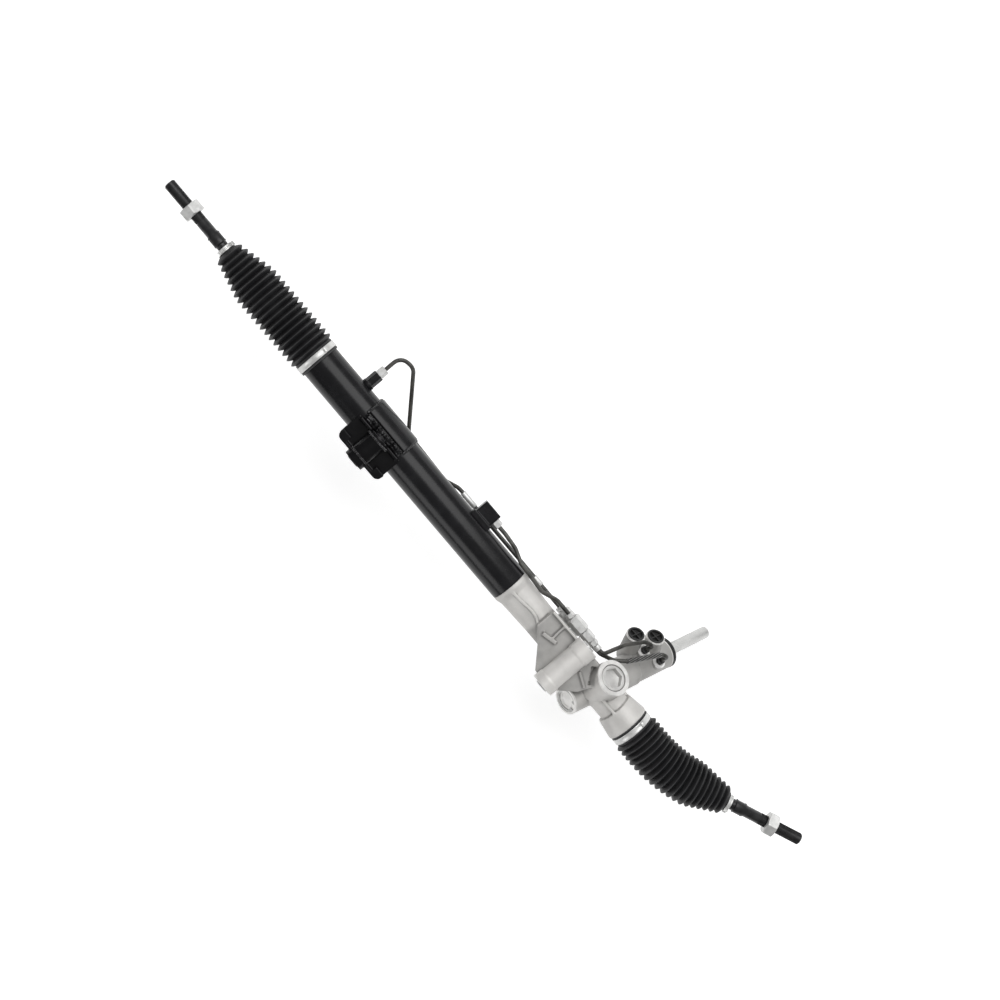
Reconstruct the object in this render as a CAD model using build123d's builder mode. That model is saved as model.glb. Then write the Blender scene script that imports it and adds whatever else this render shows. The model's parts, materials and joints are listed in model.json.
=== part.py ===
from build123d import *
from math import acos, atan2, cos, degrees, pi, radians, sin, tan
import os

# Power steering rack, in millimetres.
# The origin is on the axis of the mounting bush beside the pinion, inside its bore.
# +X runs along the rack towards the pinion end, +Y along the mounting bolts
# towards the steering column, and +Z from the rack up to the mounting bolts.

# Where the rack and the pinion lie
rack_y = 8.0                    # rack axis from the mounting bolt axis, along Y
rack_z = -42.0                  # and along Z
pinion_x = 54.0                 # where the pinion crosses the rack
yoke_tilt = 36.0                # yoke axis, turned from +Z towards +Y
pinion_slant = 18.0             # pinion axis, from square to the rack

# Fits, as gaps on the radius
running_gap = 0.05              # turning and sliding fits
seat_gap = 0.02                 # pieces that sit still in a seat
free_gap = 0.5                  # room round a moving piece that must not touch

# Rack, gear and ball joints
rack_radius = 13.0
tooth_module = 2.0
pinion_teeth = 8
pressure_angle = 20.0
profile_shift = 0.5             # in modules
pinion_tip_radius = 11.0
rack_addendum = 1.5
rack_dedendum = 2.0
tooth_backlash = 0.25
gear_centre_distance = 18.0     # pinion axis to rack axis
pinion_room = 1.0               # housing round the pinion's teeth
tooth_root_gap = 0.5
tooth_run_out = 14.0            # teeth past the travel
travel_left = 62.0              # rack travel from where it stands
travel_right = 72.0
ball_right_x = 201.0            # ball joint centres
ball_left_x = -591.0
ball_radius = 12.5
seat_wall = 1.5
socket_wall = 2.8
socket_length = 30.0            # from the ball centre back towards the rack
socket_thread_radius = 7.0
socket_thread_length = 15.0
socket_crimp_angle = 62.0       # where the socket's lip closes on the ball
socket_mouth_share = 0.72       # mouth, as a share of the lip's reach
socket_flat_depth = 2.0         # spanner flats
socket_flat_length = 10.0

# Cylinder tube and piston
tube_radius = 26.4
tube_wall = 4.4
tube_left_x = -510.0
tube_right_x = -121.0           # shoulder of the cast housing
piston_x = -320.0
piston_length = 20.0
piston_ring_width = 6.0
piston_ring_depth = 3.0

# End of the cylinder: bush, seal and retaining ring
end_bush_length = 24.0
end_bush_depth = 20.0           # retaining ring from the end of the tube
end_seal_length = 8.0
retainer_thickness = 2.5
retainer_depth = 3.5
retainer_gap = 6.0
end_bush_chamfer = 2.0

# Tie rods
tie_rod_length = 200.0          # ball centre to outer tip
tie_rod_radius = 7.75
tie_rod_thread_radius = 8.1      # past the jam nut, which sits on the shank
tie_rod_groove_depth = 0.6
tie_rod_neck_radius = 7.0
tie_rod_neck_length = 24.0
flat_collar_radius = 9.5
flat_collar_from = 101.0        # from the ball centre
flat_collar_length = 13.0
flat_collar_across = 17.0
right_rod_steer = 21.8          # right tie rod, turned from +X towards +Y
jam_nut_across = 27.0
jam_nut_width = 17.0
jam_nut_from_tip = 36.0
jam_nut_chamfer = 1.6
jam_nut_chamfer_length = 1.0
tie_rod_tip_chamfer = 1.2

# Bellows and their clamps
bellows_radius = 32.5
bellows_small_radius = 19.0
bellows_fold_depth = 6.0
bellows_wall = 1.3
bellows_folds = 19
cuff_length = 15.0
cuff_wall = 2.2
cuff_overhang = 2.0             # cuff past the end of its seat
small_cuff_length = 8.0
small_cuff_from_ball = 91.0     # middle of the cuff on the tie rod
small_cuff_wall = 2.0
clamp_width = 8.0
clamp_thickness = 1.0
clamp_ear_height = 4.2
clamp_ear_width = 5.5
rod_clip_width = 4.0
rod_clip_thickness = 1.2
rod_clip_ear = 5.0
clip_ear_angle = 50.0
clip_ear_spread = 24.0
bend_reach = 40.0               # length of the bellows that bends, each side of the ball

# Cast housing along the rack
spigot_length = 55.0            # pressed into the tube
tube_shoulder_length = 5.0      # full radius against the end of the tube
neck_from = 12.0                # where the neck starts, from the end of the tube
neck_radius = 24.0
neck_slim_radius = 22.5
neck_slim_x = -62.0
body_radius = 22.5
body_left_x = -40.0
end_neck_radius = 21.7
end_neck_x = 68.0
end_neck_taper = 4.0
neck_rib_count = 3
neck_rib_angle = 100.0
neck_rib_depth = 7.0
end_ring_left_x = 92.0
end_ring_right_x = 119.0
end_ring_start_radius = 26.0
end_ring_radius = 30.0
end_ring_land = 3.0
end_spigot_radius = 26.2
rack_bore_radius = 16.0
socket_bore_x = 105.0           # where the bore opens for the ball socket
socket_room = 2.5
rack_seal_length = 8.0

# Cast housing round the pinion and the valve
foot_radius = 19.5
foot_end = -40.5                # along the pinion axis from the crossing
tower_radius = 22.5
tower_step = 76.0
tower_top_radius = 21.0
tower_end = 138.0
valve_bore_radius = 16.5
valve_bore_from = 50.0
shaft_seal_from = 127.0
shaft_seal_length = 8.0
dust_cover_radius = 21.4
dust_cover_length = 5.5
dust_cover_round = 1.5
dust_cover_rim = 2.0            # outer rim, above the tower
dust_cover_plug = 3.0           # part inside the tower
dust_cover_wall = 2.5
yoke_boss_radius = 24.0
yoke_boss_height = 43.0         # above the rack axis
yoke_radius = 17.0
yoke_bottom = 4.0
yoke_top = 30.0
yoke_groove_at = 24.0
yoke_groove_width = 3.0
yoke_groove_depth = 2.0
yoke_ring_slack = 0.1           # ring in its groove, on each side
plug_radius = 18.0
plug_bottom = 32.0
plug_top = 42.4
plug_hex_across = 24.0
plug_hex_depth = 7.0
plug_chamfer = 1.0
spring_radius = 7.0             # middle of the wire
spring_wire_radius = 1.4
spring_turns = 3.0
spring_seat_radius = 9.2
spring_seat_yoke = 17.0
spring_seat_plug = 34.0

# Pinion, bearings and valve, along the pinion axis
bearing_outer_radius = 15.0
bearing_outer_wall = 2.6
bearing_inner_radius = 6.0
bearing_inner_wall = 2.6
bearing_from = -28.5
bearing_width = 10.0
bearing_ball_count = 8
bearing_groove_depth = 0.9
pinion_nut_across = 15.0
pinion_nut_height = 4.5
pinion_stud_radius = 5.0
pinion_stud_stand = 0.8         # past the nut
pinion_shoulder_step = 1.4
gear_from = -17.0
gear_to = 17.0
journal_radius = 9.0
upper_bearing_from = 18.0
upper_bearing_length = 10.0
upper_bearing_wall = 4.0
pinion_head_radius = 12.0
pinion_head_from = 29.0
pinion_head_to = 66.0
sleeve_radius = 15.4
sleeve_from = 56.0
sleeve_to = 124.0
sleeve_ring_width = 2.0
sleeve_ring_depth = 1.4
sleeve_slot_radius = 1.8
sleeve_groove_places = (76.0, 89.0, 103.0, 118.0)
input_radius = 8.6
input_end_radius = 8.25
input_end_from = 148.0
input_tip = 222.0
input_tip_round = 3.0
input_flat_depth = 0.7
input_flat_width = 4.0
input_spigot_radius = 7.0
input_spigot_from = 46.0
torsion_bar_radius = 3.0
torsion_bar_from = 36.0
torsion_bar_to = 200.0
torsion_bar_end = 10.0          # length held at each end
torsion_bar_waist = 0.6
drive_pin_radius = 1.8
drive_pin_at = 61.0
pinion_cap_thickness = 4.2
pinion_cap_inset = 2.0
cap_seat_step = 1.0             # seat of the cap, past the bearing's
cap_recess_radius = 9.0
cap_recess_depth = 1.2
cap_ring_thickness = 1.2
cap_ring_inner_radius = 13.4
cap_ring_eye_radius = 2.2
cap_ring_opening = 9.0          # gap between the ends of the ring
cap_ring_turn = 60.0            # where the gap is
cap_ring_eye_spread = 64.0

# Hydraulic ports of the valve: along the pinion axis, to its side, and height
hose_port_places = ((83.0, -38.0, 36.0), (112.5, -24.0, 34.0))
hose_port_lean = 25.0           # port axis, from the yoke axis away from the rack's pinion end
hose_port_radius = 13.0
hose_port_depth = 46.0
hose_port_bore = 10.4
hose_port_bore_depth = 9.0
hose_port_way = 6.0
hose_port_way_rise = 10.0       # above the foot of the port
hose_plug_stand = 1.5
line_port_places = ((92.8, -14.2), (108.0, 7.5))
line_port_height = 24.0
line_port_radius = 8.5
line_bore = 2.6
line_port_floor = 8.0

# Mounting bolts along Y: the cast boss and the welded bracket
boss_radius = 15.8
boss_lip_radius = 16.8
boss_low_y = -43.0              # ends of the boss
boss_high_y = 34.0
boss_low_lip = 12.5             # lengths of the thicker ends
boss_high_lip = 17.5
bush_rubber_radius = 12.5
bush_sleeve_radius = 9.0
bolt_hole_radius = 6.5
bush_stand = 2.0                # sleeve past the boss at each end
bracket_x = -375.0
bracket_width = 78.0
bracket_sheet = 4.0
bracket_outer_y = -43.0         # from the rack axis
bracket_inner_y = -4.0
bracket_floor_z = 24.0
bracket_wall_top_z = 50.0
bracket_corner_radius = 8.0
bracket_inner_inset = 4.0       # inner wall, shorter at each end
bracket_inner_share = 0.55      # its height, as a share of the outer wall's
bracket_leg_drop = 6.0
bracket_leg_low_z = -4.0
bracket_ear_width = 15.0        # ears folded in at the top of the outer wall
bracket_ear_depth = 12.0
barrel_radius = 15.0
barrel_stand = 6.0              # barrel past the outer wall
barrel_sleeve_stand = 1.0       # sleeve past the barrel
saddle_wall = 4.4
saddle_length = 67.0
saddle_from_angle = -70.0
saddle_to_angle = 82.0

# Ports, blocks and hydraulic lines on the tube
outboard_port_x = -436.0
port_hex_across = 14.0
port_hex_top = 46.0             # from the rack axis along Y
tube_nut_across = 11.0
tube_nut_length = 11.0
port_block_left_x = -224.0
port_block_right_x = -196.5
port_block_top = 48.0
port_block_low_z = -9.0
port_block_high_z = 14.0
line_radius = 2.8
coupler_across = 17.0
coupler_slim_across = 14.0

# Worked out from the sizes above
tube_bore = tube_radius - tube_wall
housing_right_x = end_ring_right_x + cuff_length - cuff_overhang
rack_dir = Vector(1, 0, 0)
yoke_dir = Vector(0, sin(radians(yoke_tilt)), cos(radians(yoke_tilt)))
slant = radians(pinion_slant)
square_dir = Vector(0, cos(radians(yoke_tilt)), -sin(radians(yoke_tilt)))
pinion_dir = square_dir * cos(slant) + rack_dir * sin(slant)
side_dir = pinion_dir.cross(yoke_dir)
crossing = Vector(pinion_x, rack_y, rack_z)
pinion_centre = crossing - yoke_dir * gear_centre_distance
rack_axis = Axis((0, rack_y, rack_z), (1, 0, 0))
cap_seat_radius = bearing_outer_radius + cap_seat_step
rack_profile_plane = Plane(origin=(0, rack_y, rack_z), x_dir=(1, 0, 0), z_dir=(0, -1, 0))
seat_radius = ball_radius + running_gap + seat_wall
socket_radius = seat_radius + running_gap + socket_wall


def rack_plane(x):
    """Plane across the rack at x: local x is +Y and local y is +Z."""
    return Plane(origin=(x, rack_y, rack_z), x_dir=(0, 1, 0), z_dir=(1, 0, 0))


def pinion_plane(along):
    """Plane across the pinion axis: local x is the yoke direction."""
    return Plane(origin=pinion_centre + pinion_dir * along, x_dir=yoke_dir, z_dir=pinion_dir)


def pinion_point(along, side, height):
    """Point given along the pinion axis, to its side and towards the yoke."""
    return pinion_centre + pinion_dir * along + side_dir * side + yoke_dir * height


def yoke_plane(height):
    """Plane across the yoke axis, at a height above the rack axis."""
    return Plane(origin=crossing + yoke_dir * height, x_dir=rack_dir, z_dir=yoke_dir)


def bolt_plane(x, y):
    """Plane across a mounting bolt axis, facing +Y: local x is -X and local y is +Z."""
    return Plane(origin=(x, y, 0), x_dir=(-1, 0, 0), z_dir=(0, 1, 0))


def bar(plane, radius, length, mode=Mode.ADD):
    """Round bar standing on a plane."""
    with BuildSketch(plane) as outline:
        Circle(radius)
    extrude(outline.sketch, amount=length, mode=mode)


def pipe(plane, outer, inner, length, mode=Mode.ADD):
    """Round tube standing on a plane."""
    with BuildSketch(plane) as outline:
        Circle(outer)
        Circle(inner, mode=Mode.SUBTRACT)
    extrude(outline.sketch, amount=length, mode=mode)


def hex_bar(plane, across_flats, length, bore=0.0, mode=Mode.ADD):
    """Hexagonal bar standing on a plane, with a round bore through it."""
    with BuildSketch(plane) as outline:
        RegularPolygon(across_flats / 2, 6, major_radius=False)
        if bore > 0:
            Circle(bore, mode=Mode.SUBTRACT)
    extrude(outline.sketch, amount=length, mode=mode)


def turned(points, axis=rack_axis, plane=rack_profile_plane, mode=Mode.ADD):
    """Solid of revolution about the rack, from points (x, radius)."""
    with BuildSketch(plane) as outline:
        with BuildLine():
            Polyline(*points, close=True)
        make_face()
    revolve(outline.sketch, axis=axis, mode=mode)


def save(part, label):
    """Label a finished piece and write it."""
    part.label = label
    export_step(part, f"parts/{label}.step")


# Cast housing
housing_bore_end = tube_right_x - spigot_length
neck_profile = [
    (housing_bore_end, 0),
    (housing_bore_end, tube_bore - seat_gap),
    (tube_right_x, tube_bore - seat_gap),
    (tube_right_x, tube_radius),
    (tube_right_x + tube_shoulder_length, tube_radius),
    (tube_right_x + neck_from, neck_radius),
    (neck_slim_x, neck_slim_radius),
    (body_left_x, body_radius),
    (end_neck_x, body_radius),
    (end_neck_x + end_neck_taper, end_neck_radius),
    (end_ring_left_x, end_neck_radius),
    (end_ring_left_x, end_ring_start_radius),
    (end_ring_right_x - end_ring_land, end_ring_radius),
    (end_ring_right_x, end_ring_radius),
    (end_ring_right_x, end_spigot_radius),
    (housing_right_x, end_spigot_radius),
    (housing_right_x, 0),
]
hose_port_dir = yoke_dir * cos(radians(hose_port_lean)) - side_dir * sin(radians(hose_port_lean))


def hose_port_plane(place, down=0.0):
    """Plane on the mouth of a hose port, or some way down its bore."""
    mouth = pinion_point(*place) - hose_port_dir * down
    return Plane(origin=mouth, x_dir=pinion_dir, z_dir=hose_port_dir)


def line_port_plane(place, height):
    """Plane across a small line port, at a height above the pinion axis."""
    along, side = place
    return Plane(origin=pinion_point(along, side, height), x_dir=pinion_dir, z_dir=yoke_dir)


rib_height = 26.0               # cast ribs, above the rack axis
rib_width = 3.2
web_low_z = -24.0               # webs between the boss and the body, as heights over the origin
web_high_z = -9.0
pocket_z = -18.0
web_outline = ((-62, 2), (-40, -15), (-17, -38), (16, -36), (38, -14), (49, 11), (52, 27), (16, 31), (-62, 31))
pocket_outline = ((24, 21), (33, 29), (46, 12), (40, 1))
# ribs on the webs: the line each follows, its width and its top
web_ribs = (
    (((-62, 29), (18, 29)), rib_width, -2.0),
    (((-37, 5), (-38.5, 29)), rib_width, -4.0),
    (((19, 5), (39, -4)), rib_width, -5.0),
    (((-50, 1), (-29, 5.7)), 5.0, -4.0),
)
curved_rib_line = ((-118, 5.6), (-92, 7.2), (-68, 6.6), (-56, 1.0), (-48, 1.2))

with BuildPart() as pinion_housing:
    turned(neck_profile)
    # webs from the boss to the body, with a pocket beside the yoke's boss
    with BuildSketch(Plane.XY.offset(web_low_z)):
        with BuildLine():
            Polyline(*web_outline, close=True)
        make_face()
    extrude(amount=web_high_z - web_low_z)
    with BuildSketch(Plane.XY.offset(pocket_z)):
        with BuildLine():
            Polyline(*pocket_outline, close=True)
        make_face()
    extrude(amount=web_high_z - pocket_z, mode=Mode.SUBTRACT)
    # tower of the valve, the foot and the yoke's boss
    bar(pinion_plane(foot_end), foot_radius, -foot_end)
    bar(pinion_plane(0), tower_radius, tower_step)
    bar(pinion_plane(tower_step), tower_top_radius, tower_end - tower_step)
    bar(yoke_plane(0), yoke_boss_radius, yoke_boss_height)
    # boss of the mounting bolt
    bar(bolt_plane(0, boss_low_y), boss_radius, boss_high_y - boss_low_y)
    bar(bolt_plane(0, boss_low_y), boss_lip_radius, boss_low_lip)
    bar(bolt_plane(0, boss_high_y - boss_high_lip), boss_lip_radius, boss_high_lip)
    # upright ribs on the webs
    for rib_line, width, top_z in web_ribs:
        with BuildSketch(Plane.XY.offset(web_low_z)) as rib:
            with BuildLine():
                Polyline(*rib_line)
            trace(line_width=width)
        extrude(rib.sketch, amount=top_z - web_low_z)
    # curved rib along the neck
    with BuildSketch(Plane.XY.offset(rack_z)) as curved_rib:
        with BuildLine():
            Spline(*curved_rib_line)
        trace(line_width=rib_width)
    extrude(curved_rib.sketch, amount=rib_height)
    # ribs round the neck of the end ring
    with Locations(rack_plane(end_neck_x - 2)):
        with PolarLocations(end_neck_radius - 2, neck_rib_count, start_angle=neck_rib_angle):
            Box(neck_rib_depth, rib_width, end_ring_left_x - end_neck_x + 4,
                align=(Align.MIN, Align.CENTER, Align.MIN))
    # hose ports and line ports
    for place in hose_port_places:
        bar(hose_port_plane(place, hose_port_depth), hose_port_radius, hose_port_depth)
    for place in line_port_places:
        bar(line_port_plane(place, 0), line_port_radius, line_port_height)
    # bores
    bar(rack_plane(housing_bore_end - 1), rack_bore_radius, housing_right_x - housing_bore_end + 2,
        mode=Mode.SUBTRACT)
    bar(rack_plane(socket_bore_x), socket_radius + socket_room, housing_right_x - socket_bore_x + 1,
        mode=Mode.SUBTRACT)
    bar(pinion_plane(foot_end - 1), bearing_outer_radius, bearing_from + bearing_width - foot_end + 1,
        mode=Mode.SUBTRACT)
    bar(pinion_plane(bearing_from - 1), pinion_tip_radius + pinion_room, upper_bearing_from - bearing_from + 1,
        mode=Mode.SUBTRACT)
    bar(pinion_plane(upper_bearing_from - 1), journal_radius + upper_bearing_wall, valve_bore_from,
        mode=Mode.SUBTRACT)
    bar(pinion_plane(valve_bore_from), valve_bore_radius, tower_end - valve_bore_from + 1, mode=Mode.SUBTRACT)
    bar(pinion_plane(foot_end - 1), cap_seat_radius, pinion_cap_thickness + pinion_cap_inset + 1,
        mode=Mode.SUBTRACT)
    bar(yoke_plane(0), yoke_radius, yoke_boss_height + 1, mode=Mode.SUBTRACT)
    bar(yoke_plane(plug_bottom - 1), plug_radius, yoke_boss_height, mode=Mode.SUBTRACT)
    bar(bolt_plane(0, boss_low_y - 1), bush_rubber_radius, boss_high_y - boss_low_y + 2, mode=Mode.SUBTRACT)
    for place in hose_port_places:
        bar(hose_port_plane(place, hose_port_bore_depth), hose_port_bore, hose_port_bore_depth + 1,
            mode=Mode.SUBTRACT)
        bar(hose_port_plane(place, hose_port_depth - hose_port_way_rise), hose_port_way, hose_port_depth,
            mode=Mode.SUBTRACT)
    for place in line_port_places:
        bar(line_port_plane(place, line_port_floor), line_bore, line_port_height, mode=Mode.SUBTRACT)
save(pinion_housing.part, "pinion_housing")

# Cylinder tube
with BuildPart() as cylinder_tube:
    pipe(rack_plane(tube_left_x), tube_radius, tube_bore, tube_right_x - tube_left_x)
save(cylinder_tube.part, "cylinder_tube")

# Welded saddle and bracket of the outboard mounting
with BuildPart() as bracket_saddle:
    with BuildSketch(rack_plane(bracket_x - saddle_length / 2)) as saddle_section:
        Circle(tube_radius + saddle_wall)
        Circle(tube_radius, mode=Mode.SUBTRACT)
        middle = (saddle_from_angle + saddle_to_angle) / 2
        half = radians((saddle_to_angle - saddle_from_angle) / 2)
        reach = 3 * tube_radius
        with Locations(Rotation(0, 0, middle)):
            with BuildLine():
                Polyline((0, 0), (reach * cos(half), reach * sin(half)), (reach, 0),
                         (reach * cos(half), -reach * sin(half)), close=True)
            make_face(mode=Mode.INTERSECT)
    extrude(amount=saddle_length)
save(bracket_saddle.part, "bracket_saddle")

with BuildPart() as mount_bracket:
    # outer wall with its two ears, and the floor of the pressing
    wall_height = bracket_wall_top_z - bracket_floor_z
    outer_corner = Vector(bracket_x, rack_y + bracket_outer_y, rack_z + bracket_floor_z)
    with Locations(outer_corner):
        Box(bracket_width, bracket_sheet, wall_height, align=(Align.CENTER, Align.MIN, Align.MIN))
        Box(bracket_width, bracket_inner_y - bracket_outer_y, bracket_sheet,
            align=(Align.CENTER, Align.MIN, Align.MIN))
    ear_x = (bracket_width - bracket_ear_width) / 2
    with Locations(*[outer_corner + Vector(end * ear_x, 0, wall_height - bracket_sheet) for end in (-1, 1)]):
        Box(bracket_ear_width, bracket_ear_depth, bracket_sheet, align=(Align.CENTER, Align.MIN, Align.MIN))
    with Locations((bracket_x, rack_y + bracket_inner_y - bracket_sheet, rack_z + bracket_floor_z)):
        Box(bracket_width - 2 * bracket_inner_inset, bracket_sheet, wall_height * bracket_inner_share,
            align=(Align.CENTER, Align.MIN, Align.MIN))
    # side legs that reach down to the tube
    leg_plane = Plane(origin=(bracket_x - bracket_width / 2, rack_y, rack_z), x_dir=(0, 1, 0), z_dir=(1, 0, 0))
    for leg_from in (0, bracket_width - bracket_sheet):
        with BuildSketch(leg_plane.offset(leg_from)) as leg:
            with BuildLine():
                Polyline((bracket_outer_y, bracket_floor_z), (bracket_outer_y, bracket_floor_z - bracket_leg_drop),
                         (-tube_radius, bracket_leg_low_z), (0, 0), (bracket_inner_y, bracket_floor_z), close=True)
            make_face()
        extrude(leg.sketch, amount=bracket_sheet)
    # the pressing's outer corners are round in plan
    with BuildSketch(Plane.XY.offset(rack_z)) as plan:
        with Locations((bracket_x, rack_y + bracket_outer_y)):
            Rectangle(bracket_width, 3 * tube_radius, align=(Align.CENTER, Align.MIN))
        fillet(plan.vertices().group_by(Axis.Y)[0], bracket_corner_radius)
    extrude(plan.sketch, amount=bracket_wall_top_z + 1, both=True, mode=Mode.INTERSECT)
    bar(bolt_plane(bracket_x, rack_y + bracket_outer_y - barrel_stand), barrel_radius,
        bracket_inner_y - bracket_outer_y + barrel_stand)
    bar(rack_plane(bracket_x - bracket_width), tube_radius, 2 * bracket_width, mode=Mode.SUBTRACT)
    bar(bolt_plane(bracket_x, rack_y + bracket_outer_y - barrel_stand - 1), bush_rubber_radius,
        bracket_inner_y - bracket_outer_y + barrel_stand + 2, mode=Mode.SUBTRACT)
save(mount_bracket.part, "mount_bracket")

# Rubber bushes and their steel sleeves
bushes = {
    "pinion_side": (0.0, boss_low_y, boss_high_y),
    "outboard": (bracket_x, rack_y + bracket_outer_y - barrel_stand, rack_y + bracket_inner_y),
}
for side, (bolt_x, bush_from, bush_to) in bushes.items():
    with BuildPart() as bush_rubber:
        pipe(bolt_plane(bolt_x, bush_from), bush_rubber_radius - seat_gap, bush_sleeve_radius + seat_gap,
             bush_to - bush_from)
    save(bush_rubber.part, f"{side}_bush_rubber")
    stand_out = barrel_sleeve_stand if side == "outboard" else bush_stand
    with BuildPart() as bush_sleeve:
        pipe(bolt_plane(bolt_x, bush_from - stand_out), bush_sleeve_radius, bolt_hole_radius,
             bush_to - bush_from + stand_out + bush_stand)
    save(bush_sleeve.part, f"{side}_bush_sleeve")

# Bush, seal and retaining ring at the open end of the tube, and the inner seal
retainer_x = tube_left_x + end_bush_depth
with BuildPart() as rack_end_bush:
    pipe(rack_plane(retainer_x + retainer_thickness), tube_bore - seat_gap, rack_radius + running_gap,
         end_bush_length)
    mouth_edges = rack_end_bush.edges().filter_by(GeomType.CIRCLE).group_by(Axis.X)[0]
    chamfer(mouth_edges.sort_by(SortBy.RADIUS)[0], end_bush_chamfer)
save(rack_end_bush.part, "rack_end_bush")

with BuildPart() as bush_retaining_ring:
    pipe(rack_plane(retainer_x), tube_bore - seat_gap, tube_bore - retainer_depth, retainer_thickness - seat_gap)
    with Locations((retainer_x, rack_y, rack_z - tube_bore)):
        Box(retainer_thickness, retainer_gap, 2 * retainer_depth + 1,
            align=(Align.MIN, Align.CENTER, Align.CENTER), mode=Mode.SUBTRACT)
save(bush_retaining_ring.part, "bush_retaining_ring")

with BuildPart() as outer_rack_seal:
    pipe(rack_plane(retainer_x + retainer_thickness + end_bush_length + seat_gap), tube_bore - seat_gap,
         rack_radius + running_gap, end_seal_length)
save(outer_rack_seal.part, "outer_rack_seal")

with BuildPart() as inner_rack_seal:
    pipe(rack_plane(housing_bore_end + 2), rack_bore_radius - seat_gap, rack_radius + running_gap, rack_seal_length)
save(inner_rack_seal.part, "inner_rack_seal")

# Rack bar with its teeth, cut square to the rack and inclined to face the pinion
tooth_pitch = pi * tooth_module
gear_pitch_radius = pinion_teeth * tooth_module / (2 * cos(slant))
pitch_line = gear_pitch_radius + profile_shift * tooth_module - gear_centre_distance
tooth_tip_line = pitch_line - rack_addendum
tooth_root_line = pitch_line + rack_dedendum
flank_slope = tan(radians(pressure_angle))
gap_half = (tooth_pitch / 2 + tooth_backlash) / 2
teeth_left = int((travel_right + tooth_run_out) / tooth_pitch)
teeth_right = int((travel_left + tooth_run_out) / tooth_pitch)
rack_left_x = ball_left_x + socket_length - socket_thread_length
rack_right_x = ball_right_x - socket_length + socket_thread_length
tooth_plane = Plane(origin=crossing, x_dir=rack_dir, z_dir=square_dir)

with BuildPart() as rack_bar:
    bar(rack_plane(ball_left_x + socket_length), rack_radius,
        ball_right_x - ball_left_x - 2 * socket_length)
    bar(rack_plane(rack_left_x), socket_thread_radius - seat_gap, rack_right_x - rack_left_x)
    # flat at the tips of the teeth, then the gaps; local +y of the tooth plane is away from the yoke
    flat_length = (teeth_left + teeth_right + 1) * tooth_pitch
    with BuildSketch(tooth_plane) as gap_row:
        with Locations(((teeth_right - teeth_left) * tooth_pitch / 2, -tooth_tip_line)):
            Rectangle(flat_length, rack_radius, align=(Align.CENTER, Align.MIN))
        for tooth in range(-teeth_left, teeth_right + 1):
            top_half = gap_half + rack_addendum * flank_slope
            root_half = gap_half - rack_dedendum * flank_slope
            centre = tooth * tooth_pitch
            with BuildLine():
                Polyline((centre - top_half, -tooth_tip_line), (centre - root_half, -tooth_root_line),
                         (centre + root_half, -tooth_root_line), (centre + top_half, -tooth_tip_line), close=True)
            make_face()
    extrude(gap_row.sketch, amount=2 * rack_radius, both=True, mode=Mode.SUBTRACT)
    # groove for the piston ring's carrier
    pipe(rack_plane(piston_x - piston_length / 2), rack_radius + 1, rack_radius - 1, piston_length,
         mode=Mode.SUBTRACT)
save(rack_bar.part, "rack_bar")

with BuildPart() as rack_piston:
    pipe(rack_plane(piston_x - piston_length / 2 + seat_gap), tube_bore - 0.4, rack_radius - 1 + seat_gap,
         piston_length - 2 * seat_gap)
    pipe(rack_plane(piston_x - piston_ring_width / 2), tube_bore + 1, tube_bore - piston_ring_depth,
         piston_ring_width, mode=Mode.SUBTRACT)
save(rack_piston.part, "rack_piston")

with BuildPart() as piston_ring:
    pipe(rack_plane(piston_x - piston_ring_width / 2 + seat_gap), tube_bore - running_gap,
         tube_bore - piston_ring_depth + seat_gap, piston_ring_width - 2 * seat_gap)
save(piston_ring.part, "piston_ring")

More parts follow.
